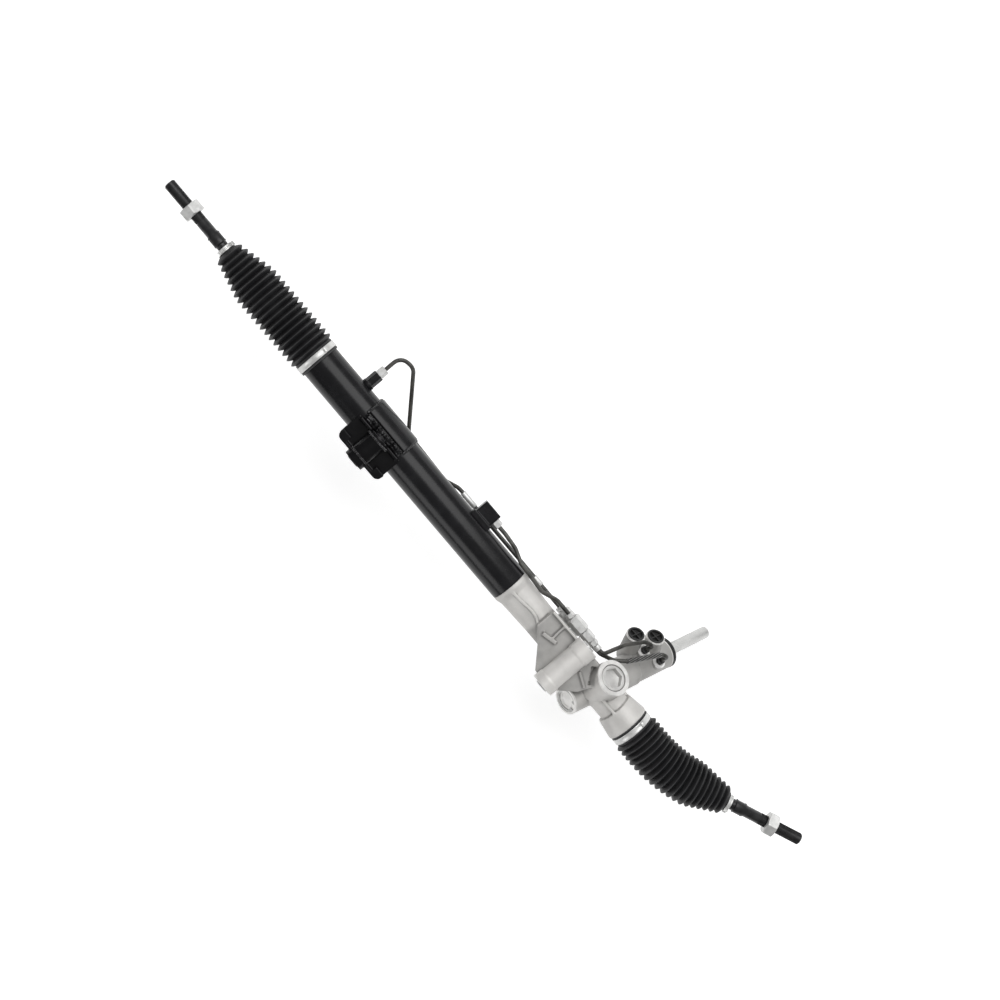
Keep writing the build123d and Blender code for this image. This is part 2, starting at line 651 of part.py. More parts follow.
# Ball joints and tie rods, each built along its own rod axis
left_out = Vector(-1, 0, 0)
right_out = Vector(cos(radians(right_rod_steer)), sin(radians(right_rod_steer)), 0)
rods = {
    "left": (Vector(ball_left_x, rack_y, rack_z), left_out, left_out),
    "right": (Vector(ball_right_x, rack_y, rack_z), rack_dir, right_out),
}
crimp = radians(socket_crimp_angle)
lip_x = socket_radius * cos(crimp)
for side, (ball, rack_out, rod_out) in rods.items():
    ball_plane = Plane(origin=ball, x_dir=(0, 0, 1), z_dir=rack_out)
    rod_plane = Plane(origin=ball, x_dir=(0, 0, 1), z_dir=rod_out)

    with BuildPart() as ball_socket:
        bar(ball_plane.offset(-socket_length), socket_radius, socket_length)
        with Locations(ball_plane):
            Sphere(socket_radius)
        # the lip is crimped over the ball, and its mouth leaves room for the rod to swing
        bar(ball_plane.offset(lip_x * socket_mouth_share), socket_radius + 1, socket_radius, mode=Mode.SUBTRACT)
        with Locations(ball_plane):
            Sphere(seat_radius + running_gap, mode=Mode.SUBTRACT)
        with BuildSketch(ball_plane.offset(-socket_length)) as flats:
            Rectangle(3 * socket_radius, 3 * socket_radius)
            Rectangle(3 * socket_radius, 2 * (socket_radius - socket_flat_depth), mode=Mode.SUBTRACT)
        extrude(flats.sketch, amount=socket_flat_length, mode=Mode.SUBTRACT)
        bar(ball_plane.offset(-socket_length - 1), socket_thread_radius, socket_thread_length + 1,
            mode=Mode.SUBTRACT)
    save(ball_socket.part, f"{side}_ball_socket")

    with BuildPart() as ball_seat:
        with Locations(ball_plane):
            Sphere(seat_radius)
            Sphere(ball_radius + running_gap, mode=Mode.SUBTRACT)
        bar(rod_plane.offset(seat_radius * cos(crimp)), seat_radius + 1, seat_radius, mode=Mode.SUBTRACT)
    save(ball_seat.part, f"{side}_ball_seat")

    with BuildPart() as tie_rod:
        with Locations(rod_plane):
            Sphere(ball_radius)
        bar(rod_plane, tie_rod_neck_radius, tie_rod_neck_length)
        bar(rod_plane.offset(tie_rod_neck_length - 2), tie_rod_radius, tie_rod_length - tie_rod_neck_length + 2)
        bar(rod_plane.offset(tie_rod_length - jam_nut_from_tip), tie_rod_thread_radius, jam_nut_from_tip)
        with BuildSketch(rod_plane.offset(flat_collar_from)) as collar:
            Circle(flat_collar_radius)
            Rectangle(flat_collar_across, 3 * flat_collar_radius, mode=Mode.INTERSECT)
        extrude(collar.sketch, amount=flat_collar_length)
        bar(rod_plane.offset(small_cuff_from_ball - small_cuff_length / 2), tie_rod_radius + 1, small_cuff_length,
            mode=Mode.SUBTRACT)
        bar(rod_plane.offset(small_cuff_from_ball - small_cuff_length / 2 - 1), tie_rod_radius - tie_rod_groove_depth,
            small_cuff_length + 2)
        chamfer(tie_rod.faces().sort_by(Axis(ball, rod_out))[-1].edges(), tie_rod_tip_chamfer)
    save(tie_rod.part, f"{side}_tie_rod")

    with BuildPart() as jam_nut:
        nut_to = tie_rod_length - jam_nut_from_tip
        nut_from = nut_to - jam_nut_width
        hex_bar(rod_plane.offset(nut_from), jam_nut_across, jam_nut_width, bore=tie_rod_radius + seat_gap)
        nut_corner = jam_nut_across / 2 / cos(radians(30))
        nut_plane = Plane(origin=ball, x_dir=rod_out, z_dir=Vector(0, 0, 1).cross(rod_out))
        with BuildSketch(nut_plane) as turned_nut:
            with BuildLine():
                Polyline((nut_from, 0), (nut_from, nut_corner - jam_nut_chamfer),
                         (nut_from + jam_nut_chamfer_length, nut_corner),
                         (nut_to - jam_nut_chamfer_length, nut_corner), (nut_to, nut_corner - jam_nut_chamfer),
                         (nut_to, 0), close=True)
            make_face()
        revolve(turned_nut.sketch, axis=Axis(ball, rod_out), mode=Mode.INTERSECT)
    save(jam_nut.part, f"{side}_jam_nut")

# Yoke that presses the rack into mesh, its spring and its plug
with BuildPart() as rack_yoke:
    bar(yoke_plane(yoke_bottom), yoke_radius - running_gap, yoke_top - yoke_bottom)
    bar(rack_plane(pinion_x - 2 * yoke_radius), rack_radius + running_gap, 4 * yoke_radius, mode=Mode.SUBTRACT)
    bar(yoke_plane(spring_seat_yoke), spring_seat_radius, yoke_top, mode=Mode.SUBTRACT)
    with BuildSketch(Plane(origin=crossing, x_dir=rack_dir, z_dir=rack_dir.cross(yoke_dir))) as ring_groove:
        with Locations((yoke_radius, yoke_groove_at)):
            Rectangle(2 * yoke_groove_depth, yoke_groove_width)
    revolve(ring_groove.sketch, axis=Axis(crossing, yoke_dir), mode=Mode.SUBTRACT)
save(rack_yoke.part, "rack_yoke")

with BuildPart() as yoke_ring:
    pipe(yoke_plane(yoke_groove_at - yoke_groove_width / 2 + yoke_ring_slack), yoke_radius - seat_gap,
         yoke_radius - yoke_groove_depth + seat_gap, yoke_groove_width - 2 * yoke_ring_slack)
save(yoke_ring.part, "yoke_damping_ring")

with BuildPart() as yoke_spring:
    spring_foot = yoke_plane(spring_seat_yoke + spring_wire_radius + seat_gap)
    spring_rise = spring_seat_plug - spring_seat_yoke - 2 * spring_wire_radius - 2 * seat_gap
    with BuildLine() as coil:
        Helix(pitch=spring_rise / spring_turns, height=spring_rise, radius=spring_radius,
              center=spring_foot.origin, direction=yoke_dir)
    with BuildSketch(Plane(origin=coil.line @ 0, z_dir=coil.line % 0)) as wire:
        Circle(spring_wire_radius)
    sweep(wire.sketch, path=coil.line)
save(yoke_spring.part, "yoke_spring")

with BuildPart() as yoke_plug:
    bar(yoke_plane(plug_bottom), plug_radius - seat_gap, plug_top - plug_bottom)
    bar(yoke_plane(plug_bottom - 1), spring_seat_radius, spring_seat_plug - plug_bottom + 1, mode=Mode.SUBTRACT)
    hex_bar(yoke_plane(plug_top - plug_hex_depth), plug_hex_across, plug_hex_depth + 1, mode=Mode.SUBTRACT)
    chamfer(yoke_plug.faces().sort_by(Axis(crossing, yoke_dir))[-1].outer_wire().edges(), plug_chamfer)
save(yoke_plug.part, "yoke_plug")

# Pinion shaft: stud, journal, helical gear, journal and head
face_pressure = atan2(tan(radians(pressure_angle)), cos(slant))
base_radius = gear_pitch_radius * cos(face_pressure)
gear_root_radius = gear_centre_distance + tooth_tip_line - tooth_root_gap
tooth_thickness = pi * tooth_module / cos(slant) / 2 + 2 * profile_shift * tooth_module * tan(face_pressure)


def half_tooth_angle(radius):
    """Half the angle that a pinion tooth takes up at a radius."""
    flank = acos(min(1.0, base_radius / radius))
    return (tooth_thickness / 2 / gear_pitch_radius + tan(face_pressure) - face_pressure - tan(flank) + flank)


def tooth_point(radius, side, turn):
    """Point of a tooth's flank; side is 1 or -1 and turn is the tooth's own angle."""
    angle = turn + side * half_tooth_angle(radius)
    return (radius * cos(angle), radius * sin(angle))


gear_length = gear_to - gear_from
gear_twist = tan(slant) / gear_pitch_radius
gear_start_turn = -gear_from * gear_twist
gear_plane = Plane(origin=pinion_point(gear_from, 0, 0), z_dir=pinion_dir,
                   x_dir=yoke_dir * cos(gear_start_turn) + side_dir * sin(gear_start_turn))
flank_radii = [base_radius + (pinion_tip_radius - base_radius) * step / 4 for step in range(5)]

with BuildPart() as pinion_shaft:
    bar(pinion_plane(bearing_from - pinion_nut_height - pinion_stud_stand), pinion_stud_radius, pinion_nut_height + 1)
    bar(pinion_plane(bearing_from), bearing_inner_radius - seat_gap, gear_from - bearing_from)
    bar(pinion_plane(bearing_from + bearing_width + seat_gap), bearing_inner_radius + pinion_shoulder_step,
        gear_from - bearing_from - bearing_width - seat_gap)
    with BuildSketch(gear_plane) as gear_section:
        Circle(gear_root_radius)
        for tooth in range(pinion_teeth):
            turn = 2 * pi * tooth / pinion_teeth
            with BuildLine():
                near = Spline(*[tooth_point(radius, 1, turn) for radius in flank_radii])
                far = Spline(*[tooth_point(radius, -1, turn) for radius in flank_radii])
                ThreePointArc(near @ 1, (pinion_tip_radius * cos(turn), pinion_tip_radius * sin(turn)), far @ 1)
                Polyline(near @ 0, (near @ 0) * 0.9, (far @ 0) * 0.9, far @ 0)
            make_face()
    gear_solid = Solid.extrude_linear_with_rotation(gear_section.sketch.face(), gear_plane.origin,
                                                    pinion_dir * gear_length, degrees(-gear_length * gear_twist))
    add(gear_solid)
    bar(pinion_plane(gear_to), journal_radius - running_gap, pinion_head_from - gear_to)
    bar(pinion_plane(pinion_head_from), pinion_head_radius, pinion_head_to - pinion_head_from)
    bar(pinion_plane(input_spigot_from - 1), input_spigot_radius + running_gap, pinion_head_to, mode=Mode.SUBTRACT)
    bar(pinion_plane(torsion_bar_from - 1), torsion_bar_radius + running_gap, pinion_head_to, mode=Mode.SUBTRACT)
    bar(Plane(origin=pinion_point(drive_pin_at, 0, 0), x_dir=pinion_dir, z_dir=yoke_dir),
        drive_pin_radius + seat_gap, 2 * pinion_head_radius, mode=Mode.SUBTRACT)
save(pinion_shaft.part, "pinion_shaft")

with BuildPart() as pinion_nut:
    hex_bar(pinion_plane(bearing_from - pinion_nut_height), pinion_nut_across, pinion_nut_height - seat_gap,
            bore=pinion_stud_radius + seat_gap)
save(pinion_nut.part, "pinion_lock_nut")

# Lower ball bearing
race_plane = pinion_plane(bearing_from)
ball_circle = (bearing_outer_radius - bearing_outer_wall + bearing_inner_radius + bearing_inner_wall) / 2
small_ball_radius = (bearing_outer_radius - bearing_outer_wall - bearing_inner_radius - bearing_inner_wall) / 2
small_ball_radius += bearing_groove_depth
groove_radius = small_ball_radius + running_gap


def race_groove():
    """Groove that the bearing balls run in."""
    with BuildSketch(Plane(origin=race_plane.origin, x_dir=yoke_dir, z_dir=side_dir * -1)) as groove:
        with Locations((ball_circle, bearing_width / 2)):
            Circle(groove_radius)
    revolve(groove.sketch, axis=Axis(race_plane.origin, pinion_dir), mode=Mode.SUBTRACT)


with BuildPart() as lower_bearing_outer:
    pipe(race_plane, bearing_outer_radius - seat_gap, bearing_outer_radius - bearing_outer_wall, bearing_width)
    race_groove()
save(lower_bearing_outer.part, "lower_bearing_outer_race")

with BuildPart() as lower_bearing_inner:
    pipe(race_plane, bearing_inner_radius + bearing_inner_wall, bearing_inner_radius, bearing_width)
    race_groove()
save(lower_bearing_inner.part, "lower_bearing_inner_race")

with BuildPart() as lower_bearing_balls:
    with Locations(race_plane.offset(bearing_width / 2)):
        with PolarLocations(ball_circle, bearing_ball_count):
            Sphere(small_ball_radius)
save(lower_bearing_balls.part, "lower_bearing_balls")

with BuildPart() as upper_bearing:
    pipe(pinion_plane(upper_bearing_from), journal_radius + upper_bearing_wall - seat_gap, journal_radius,
         upper_bearing_length)
save(upper_bearing.part, "upper_pinion_bearing")

# Cap and retaining ring of the pinion's foot
cap_from = foot_end + pinion_cap_inset
with BuildPart() as pinion_cap:
    bar(pinion_plane(cap_from), cap_seat_radius - seat_gap, pinion_cap_thickness - seat_gap)
    bar(pinion_plane(cap_from - 1), cap_recess_radius, cap_recess_depth + 1, mode=Mode.SUBTRACT)
save(pinion_cap.part, "pinion_end_cap")

with BuildPart() as cap_ring:
    pipe(pinion_plane(cap_from - cap_ring_thickness - seat_gap), cap_seat_radius - seat_gap,
         cap_ring_inner_radius, cap_ring_thickness)
    # open ends with their two eyes
    ring_gap_plane = pinion_plane(cap_from - cap_ring_thickness - seat_gap)
    with BuildSketch(ring_gap_plane) as ends:
        first_eye = cap_ring_turn - cap_ring_eye_spread / 2
        with PolarLocations(bearing_outer_radius - cap_ring_eye_radius, 2, start_angle=first_eye,
                            angular_range=cap_ring_eye_spread, endpoint=True):
            Circle(cap_ring_eye_radius)
    extrude(ends.sketch, amount=cap_ring_thickness)
    with BuildSketch(ring_gap_plane) as opening:
        with Locations(Rotation(0, 0, cap_ring_turn)):
            Rectangle(2 * bearing_outer_radius, cap_ring_opening, align=(Align.MIN, Align.CENTER))
    extrude(opening.sketch, amount=cap_ring_thickness, mode=Mode.SUBTRACT)
save(cap_ring.part, "cap_retaining_ring")

# Valve: sleeve with its sealing rings, input shaft and torsion bar
with BuildPart() as valve_sleeve:
    pipe(pinion_plane(sleeve_from), sleeve_radius, input_radius + running_gap, sleeve_to - sleeve_from)
    bar(pinion_plane(sleeve_from - 1), pinion_head_radius + seat_gap, pinion_head_to - sleeve_from + 1.5,
        mode=Mode.SUBTRACT)
    for place in sleeve_groove_places:
        pipe(pinion_plane(place), sleeve_radius + 1, sleeve_radius - sleeve_ring_depth, sleeve_ring_width,
             mode=Mode.SUBTRACT)
    # slots that feed the oil, between the rings
    for first, second in zip(sleeve_groove_places, sleeve_groove_places[1:]):
        with Locations(pinion_plane((first + second + sleeve_ring_width) / 2)):
            with PolarLocations(0, 4):
                Cylinder(sleeve_slot_radius, 2 * sleeve_radius, rotation=(0, 90, 0),
                         align=(Align.CENTER, Align.CENTER, Align.MIN), mode=Mode.SUBTRACT)
    bar(Plane(origin=pinion_point(drive_pin_at, 0, 0), x_dir=pinion_dir, z_dir=yoke_dir),
        drive_pin_radius + seat_gap, 2 * sleeve_radius, mode=Mode.SUBTRACT)
save(valve_sleeve.part, "valve_sleeve")

with BuildPart() as sleeve_rings:
    for place in sleeve_groove_places:
        pipe(pinion_plane(place + seat_gap), valve_bore_radius - running_gap,
             sleeve_radius - sleeve_ring_depth + seat_gap, sleeve_ring_width - 2 * seat_gap)
save(sleeve_rings.part, "valve_sleeve_rings")

with BuildPart() as drive_pin:
    pin_from = input_spigot_radius + free_gap
    bar(Plane(origin=pinion_point(drive_pin_at, 0, pin_from), x_dir=pinion_dir, z_dir=yoke_dir), drive_pin_radius,
        sleeve_radius - pin_from - 0.3)
save(drive_pin.part, "sleeve_drive_pin")

with BuildPart() as input_shaft:
    bar(pinion_plane(input_spigot_from), input_spigot_radius, pinion_head_to + 1 - input_spigot_from)
    bar(pinion_plane(pinion_head_to + 2), input_radius, input_end_from - pinion_head_to - 2)
    bar(pinion_plane(input_end_from), input_end_radius, input_tip - input_end_from)
    bar(pinion_plane(pinion_head_to + 0.5), input_spigot_radius, 2)
    fillet(input_shaft.faces().sort_by(Axis(pinion_centre, pinion_dir))[-1].edges(), input_tip_round)
    # flats that steer the oil between the ports
    with Locations(pinion_plane(sleeve_groove_places[0])):
        with PolarLocations(input_radius - input_flat_depth, 4, start_angle=45):
            Box(3, input_flat_width, sleeve_groove_places[-1] - sleeve_groove_places[0],
                align=(Align.MIN, Align.CENTER, Align.MIN), mode=Mode.SUBTRACT)
    bar(pinion_plane(input_spigot_from - 1), torsion_bar_radius + free_gap,
        torsion_bar_to - torsion_bar_end - 1 - input_spigot_from, mode=Mode.SUBTRACT)
    bar(pinion_plane(input_spigot_from - 1), torsion_bar_radius + seat_gap,
        torsion_bar_to - input_spigot_from + 1.2, mode=Mode.SUBTRACT)
save(input_shaft.part, "input_shaft")

with BuildPart() as torsion_bar:
    bar(pinion_plane(torsion_bar_from), torsion_bar_radius, torsion_bar_end)
    bar(pinion_plane(torsion_bar_from), torsion_bar_radius - torsion_bar_waist, torsion_bar_to - torsion_bar_from)
    bar(pinion_plane(torsion_bar_to - torsion_bar_end - 1), torsion_bar_radius, torsion_bar_end + 1)
save(torsion_bar.part, "torsion_bar")

with BuildPart() as shaft_seal:
    pipe(pinion_plane(shaft_seal_from), valve_bore_radius - seat_gap, input_radius + running_gap, shaft_seal_length)
save(shaft_seal.part, "input_shaft_seal")

with BuildPart() as dust_cover:
    pipe(pinion_plane(tower_end + seat_gap), dust_cover_radius, input_radius + 4, dust_cover_length)
    pipe(pinion_plane(tower_end + dust_cover_rim), input_radius + 5, input_radius + running_gap, dust_cover_length)
    pipe(pinion_plane(tower_end - dust_cover_plug), valve_bore_radius - seat_gap,
         valve_bore_radius - dust_cover_wall, dust_cover_plug + dust_cover_rim)
    fillet(dust_cover.edges().filter_by(GeomType.CIRCLE).sort_by(SortBy.RADIUS)[-1], dust_cover_round)
save(dust_cover.part, "dust_cover")

# Plugs of the hose ports
with BuildPart() as port_plugs:
    for place in hose_port_places:
        floor = hose_port_plane(place, hose_port_bore_depth - 0.5)
        bar(floor, hose_port_bore - 0.3, hose_port_bore_depth - 0.5 + hose_plug_stand)
        bar(hose_port_plane(place, 1.0), hose_port_bore - 2.4, hose_plug_stand + 2, mode=Mode.SUBTRACT)
        with Locations(hose_port_plane(place, 1.5)):
            Box(2 * hose_port_bore - 4, 1.4, hose_plug_stand + 0.8, align=(Align.CENTER, Align.CENTER, Align.MIN))
            Box(1.4, 2 * hose_port_bore - 4, hose_plug_stand + 0.8, align=(Align.CENTER, Align.CENTER, Align.MIN))
save(port_plugs.part, "hose_port_plugs")

# Port fitting and port block welded to the tube
def column_plane(x, height, z=rack_z):
    """Plane facing +Y, at a height above the rack axis."""
    return Plane(origin=(x, rack_y + height, z), x_dir=(-1, 0, 0), z_dir=(0, 1, 0))


with BuildPart() as outboard_port:
    bar(column_plane(outboard_port_x, tube_radius - 6), port_hex_across * 0.62, 9)
    hex_bar(column_plane(outboard_port_x, tube_radius), port_hex_across, port_hex_top - tube_radius)
    bar(rack_plane(outboard_port_x - port_hex_across), tube_radius, 2 * port_hex_across, mode=Mode.SUBTRACT)
    bar(column_plane(outboard_port_x, tube_radius - 1), line_bore, port_hex_top, mode=Mode.SUBTRACT)
save(outboard_port.part, "outboard_port_fitting")

block_length = port_block_right_x - port_block_left_x
block_height = port_block_high_z - port_block_low_z
block_line_z = rack_z + 5
block_line_y = 38.0             # from the rack axis
with BuildPart() as port_block:
    with Locations((port_block_left_x, rack_y + 10, rack_z + port_block_low_z)):
        Box(block_length, port_block_top - 10, block_height, align=(Align.MIN, Align.MIN, Align.MIN))
    fillet(port_block.edges().filter_by(Axis.Y), 3)
    with Locations((port_block_left_x - 2, rack_y + 10, rack_z + port_block_low_z - 2)):
        Box(block_length + 4, tube_radius - 7, block_height + 4, align=(Align.MIN, Align.MIN, Align.MIN))
    bar(rack_plane(port_block_left_x - 5), tube_radius, block_length + 10, mode=Mode.SUBTRACT)
    bar(Plane(origin=(port_block_right_x - 14, rack_y + block_line_y, block_line_z), x_dir=(0, 1, 0),
              z_dir=(1, 0, 0)), line_bore, 20, mode=Mode.SUBTRACT)
save(port_block.part, "inboard_port_block")

# Hydraulic lines: from the outboard port behind the tube, and from the port block, each to a coupler,
# and from the couplers to the two line ports of the valve
line_y = 38.5
line_z = -57.0
line_sleeve_places = ((-250.0, 24.0), (-106.0, 14.0))
coupler_length = 62.0
front_coupler_end_x = 19.0      # right ends of the couplers
rear_coupler_end_x = 7.0
front_coupler_x = front_coupler_end_x - coupler_length
rear_coupler_x = rear_coupler_end_x - coupler_length
front_y = 42.0
front_z = -37.0


def tower_point(along, side, height):
    """Point beside the valve tower as a plain tuple."""
    return tuple(pinion_point(along, side, height))


port_a, port_b = line_port_places
seat_height = line_port_height + seat_gap
outboard_route = [
    (outboard_port_x, rack_y + port_hex_top + seat_gap, rack_z), (outboard_port_x, 91, rack_z),
    (-414, 93.5, -46), (-353, 33.5, -67.5), (-276, 31, -67.5), (-258, line_y, line_z),
    (rear_coupler_x + 1, line_y, line_z),
]
inboard_route = [
    (port_block_right_x + seat_gap, rack_y + block_line_y, block_line_z),
    (-174, rack_y + block_line_y, block_line_z),
    (-153, 44, -33), (-134, 37, -30), (-114, 35.8, -30), (-88, 34, -31), (-66, front_y, front_z),
    (front_coupler_x + 1, front_y, front_z),
]
upper_valve_route = [
    (front_coupler_end_x - 1, front_y, front_z), (27, front_y, front_z), tower_point(52, -31.7, 46),
    tower_point(82, -24, 47), tower_point(*port_a, 47), tower_point(*port_a, seat_height),
]
lower_valve_route = [
    (rear_coupler_end_x - 1, line_y, line_z), (16, line_y, line_z), (27, 39.5, -51), tower_point(27, -20, 41),
    tower_point(42, -11.5, 46), tower_point(76, -4, 47), tower_point(100, 1, 46),
    tower_point(*port_b, 45), tower_point(*port_b, seat_height),
]
routes = {
    "outboard_line": (outboard_route, (14, 14, 20, 14, 14)),
    "inboard_line": (inboard_route, (20, 18, 14, 20, 14, 14)),
    "upper_valve_line": (upper_valve_route, (7, 16, 7, 7)),
    "lower_valve_line": (lower_valve_route, (9, 9, 12, 16, 30, 7, 7)),
}
for line_name, (route, bends) in routes.items():
    with BuildPart() as line:
        with BuildLine() as path:
            course = FilletPolyline(*route, radius=bends)
        with BuildSketch(Plane(origin=course @ 0, z_dir=course % 0)) as bore_section:
            Circle(line_radius)
        sweep(bore_section.sketch, path=course)
    print(line_name, "length", round(course.length), "volume ratio",
          round(line.part.volume / (pi * line_radius ** 2 * course.length), 4))
    save(line.part, line_name)

# Nuts on the ends of the lines
line_nut_bore = line_radius + seat_gap
with BuildPart() as line_nuts:
    hex_bar(column_plane(outboard_port_x, port_hex_top + seat_gap), tube_nut_across, tube_nut_length,
            bore=line_nut_bore)
    block_face = Plane(origin=(port_block_right_x + seat_gap, rack_y + block_line_y, block_line_z), x_dir=(0, 1, 0),
                       z_dir=(1, 0, 0))
    hex_bar(block_face, tube_nut_across, tube_nut_length - 2, bore=line_nut_bore)
    for place in line_port_places:
        hex_bar(line_port_plane(place, seat_height), tube_nut_across, tube_nut_length - 3, bore=line_nut_bore)
save(line_nuts.part, "line_end_nuts")

# In-line couplers of the two lines: nut, long hexagon, shorter hexagon, nut and collar
coupler_collar_radius = 4.6
coupler_steps = (
    (0, 7, tube_nut_across), (7, 24, coupler_across), (31, 16, coupler_slim_across), (47, 8, tube_nut_across),
)
couplers = {
    "front": (front_coupler_x, front_y, front_z),
    "rear": (rear_coupler_x, line_y, line_z),
}
for row, left_end in couplers.items():
    end_plane = Plane(origin=left_end, x_dir=(0, 0, 1), z_dir=rack_dir)
    with BuildPart() as coupler:
        for start, length, across in coupler_steps:
            hex_bar(end_plane.offset(start), across, length)
        bar(end_plane, coupler_collar_radius, coupler_length)
        bar(end_plane.offset(-1), line_nut_bore, coupler_length + 2, mode=Mode.SUBTRACT)
    save(coupler.part, f"{row}_coupler")

# Plated sleeves round the straight run of the outboard line
with BuildPart() as line_sleeves:
    for sleeve_x, sleeve_length in line_sleeve_places:
        pipe(Plane(origin=(sleeve_x, line_y, line_z), z_dir=(1, 0, 0)), line_radius + 1.2, line_nut_bore,
             sleeve_length)
save(line_sleeves.part, "line_sleeves")

# Bellows: a big cuff, folds along the centre line, and a small cuff on the tie rod
end_wall = cuff_overhang - 0.3
cuff_seats = {
    "left": (tube_left_x - cuff_overhang + cuff_length, -1, tube_radius),
    "right": (end_ring_right_x + seat_gap, 1, end_spigot_radius),
}
for side, (ball, rack_out, rod_out) in rods.items():
    cuff_x, out_sign, cuff_seat = cuff_seats[side]
    rod_plane = Plane(origin=ball, x_dir=(0, 0, 1), z_dir=rod_out)
    cuff_plane = Plane(origin=(cuff_x, rack_y, rack_z), x_dir=(0, 0, 1), z_dir=rack_out)
    small_cuff_plane = rod_plane.offset(small_cuff_from_ball - small_cuff_length / 2)
    cuff_radius = cuff_seat + seat_gap + cuff_wall
    rod_groove_radius = tie_rod_radius - tie_rod_groove_depth + seat_gap
    small_cuff_radius = rod_groove_radius + small_cuff_wall
    fold_start = cuff_plane.offset(cuff_length).origin
    fold_end = small_cuff_plane.origin
    with BuildLine():
        if side == "left":
            centre = Line(fold_start, fold_end)
        else:
            bend_radius = bend_reach / tan(radians(right_rod_steer / 2))
            centre = FilletPolyline(fold_start, ball, fold_end, radius=bend_radius)

    def fold_sections(shrink):
        """Circles along the centre line, on the crests and in the valleys of the folds."""
        steps = 2 * bellows_folds
        sections = []
        for step in range(steps + 1):
            share = step / steps
            taper = max(0.0, (share - 0.68) / 0.32)
            crest = bellows_radius + (bellows_small_radius - bellows_radius) * taper
            radius = crest if step % 2 else crest - bellows_fold_depth
            section_plane = Plane(origin=centre @ share, x_dir=(0, 0, 1), z_dir=centre % share)
            with BuildSketch(section_plane) as section:
                Circle(radius - shrink)
            sections.append(section.sketch.face())
        return sections

    with BuildPart() as bellows:
        loft(fold_sections(0), ruled=True)
        bar(cuff_plane, cuff_radius, cuff_length)
        bar(small_cuff_plane.offset(-1), small_cuff_radius, small_cuff_length + 1)
        loft(fold_sections(bellows_wall), ruled=True, mode=Mode.SUBTRACT)
        bar(small_cuff_plane, bellows_small_radius - bellows_fold_depth, end_wall)
        bar(cuff_plane.offset(-1), cuff_seat + seat_gap, cuff_length - end_wall + 1, mode=Mode.SUBTRACT)
        bar(cuff_plane, bellows_radius - bellows_fold_depth - bellows_wall, cuff_length, mode=Mode.SUBTRACT)
        bar(small_cuff_plane.offset(-2), rod_groove_radius, small_cuff_length + 4, mode=Mode.SUBTRACT)
    save(bellows.part, f"{side}_bellows")

    with BuildPart() as bellows_clamp:
        clamp_plane = cuff_plane.offset((cuff_length - clamp_width) / 2)
        pipe(clamp_plane, cuff_radius + seat_gap + clamp_thickness, cuff_radius + seat_gap, clamp_width)
        # crimped ear of the clamp
        with Locations(clamp_plane.offset(clamp_width / 2)):
            with PolarLocations(cuff_radius + seat_gap + clamp_thickness / 2, 1, start_angle=-30 * out_sign):
                Box(clamp_ear_height, clamp_ear_width, clamp_width - 1, align=(Align.MIN, Align.CENTER, Align.CENTER))
    save(bellows_clamp.part, f"{side}_bellows_clamp")

    with BuildPart() as rod_clip:
        clip_plane = small_cuff_plane.offset((small_cuff_length - rod_clip_width) / 2)
        pipe(clip_plane, small_cuff_radius + seat_gap + rod_clip_thickness, small_cuff_radius + seat_gap,
             rod_clip_width)
        with Locations(clip_plane.offset(rod_clip_width / 2)):
            with PolarLocations(small_cuff_radius + seat_gap + rod_clip_thickness / 2, 2,
                                start_angle=clip_ear_angle, angular_range=clip_ear_spread, endpoint=True):
                Box(rod_clip_ear, rod_clip_thickness, rod_clip_width, align=(Align.MIN, Align.CENTER, Align.CENTER))
    save(rod_clip.part, f"{side}_rod_clip")
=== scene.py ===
"""Looks of the power steering rack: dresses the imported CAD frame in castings, black steel, rubber and plating."""
import json
import logging
import math
import random
from dataclasses import dataclass
from enum import Enum
from typing import Callable, Sequence

import bmesh
import bpy
from mathutils import Matrix, Vector


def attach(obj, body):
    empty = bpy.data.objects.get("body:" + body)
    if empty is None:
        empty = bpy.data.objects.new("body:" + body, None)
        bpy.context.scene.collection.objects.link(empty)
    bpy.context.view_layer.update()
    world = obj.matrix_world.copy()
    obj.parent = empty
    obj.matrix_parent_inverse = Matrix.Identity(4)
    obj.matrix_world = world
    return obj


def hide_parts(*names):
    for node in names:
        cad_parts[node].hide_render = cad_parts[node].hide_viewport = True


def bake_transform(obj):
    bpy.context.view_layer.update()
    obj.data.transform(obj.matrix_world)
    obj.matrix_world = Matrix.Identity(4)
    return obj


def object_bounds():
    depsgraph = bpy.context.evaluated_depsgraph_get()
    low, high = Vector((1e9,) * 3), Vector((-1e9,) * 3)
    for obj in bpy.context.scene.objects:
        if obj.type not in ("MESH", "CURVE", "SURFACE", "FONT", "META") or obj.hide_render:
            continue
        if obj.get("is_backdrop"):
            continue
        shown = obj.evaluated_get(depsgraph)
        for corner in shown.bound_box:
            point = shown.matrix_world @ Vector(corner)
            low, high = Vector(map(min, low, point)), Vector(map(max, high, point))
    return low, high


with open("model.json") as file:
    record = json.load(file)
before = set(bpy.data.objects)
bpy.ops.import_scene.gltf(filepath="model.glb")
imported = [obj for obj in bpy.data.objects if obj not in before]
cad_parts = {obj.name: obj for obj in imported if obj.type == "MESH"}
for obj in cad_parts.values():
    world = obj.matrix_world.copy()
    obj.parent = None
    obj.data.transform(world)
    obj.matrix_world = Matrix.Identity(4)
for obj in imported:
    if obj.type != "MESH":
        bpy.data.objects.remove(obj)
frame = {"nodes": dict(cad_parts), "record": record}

log = logging.getLogger("steering_rack")
MM = 0.001
TURN = 2 * math.pi
CORNER_OF_HEX = 1 / math.cos(math.radians(30))
THREAD_DEPTH = 0.55  # shares of the pitch
THREAD_CREST = 0.14
THREAD_STEPS = 28  # of one turn
Point = tuple[float, float]
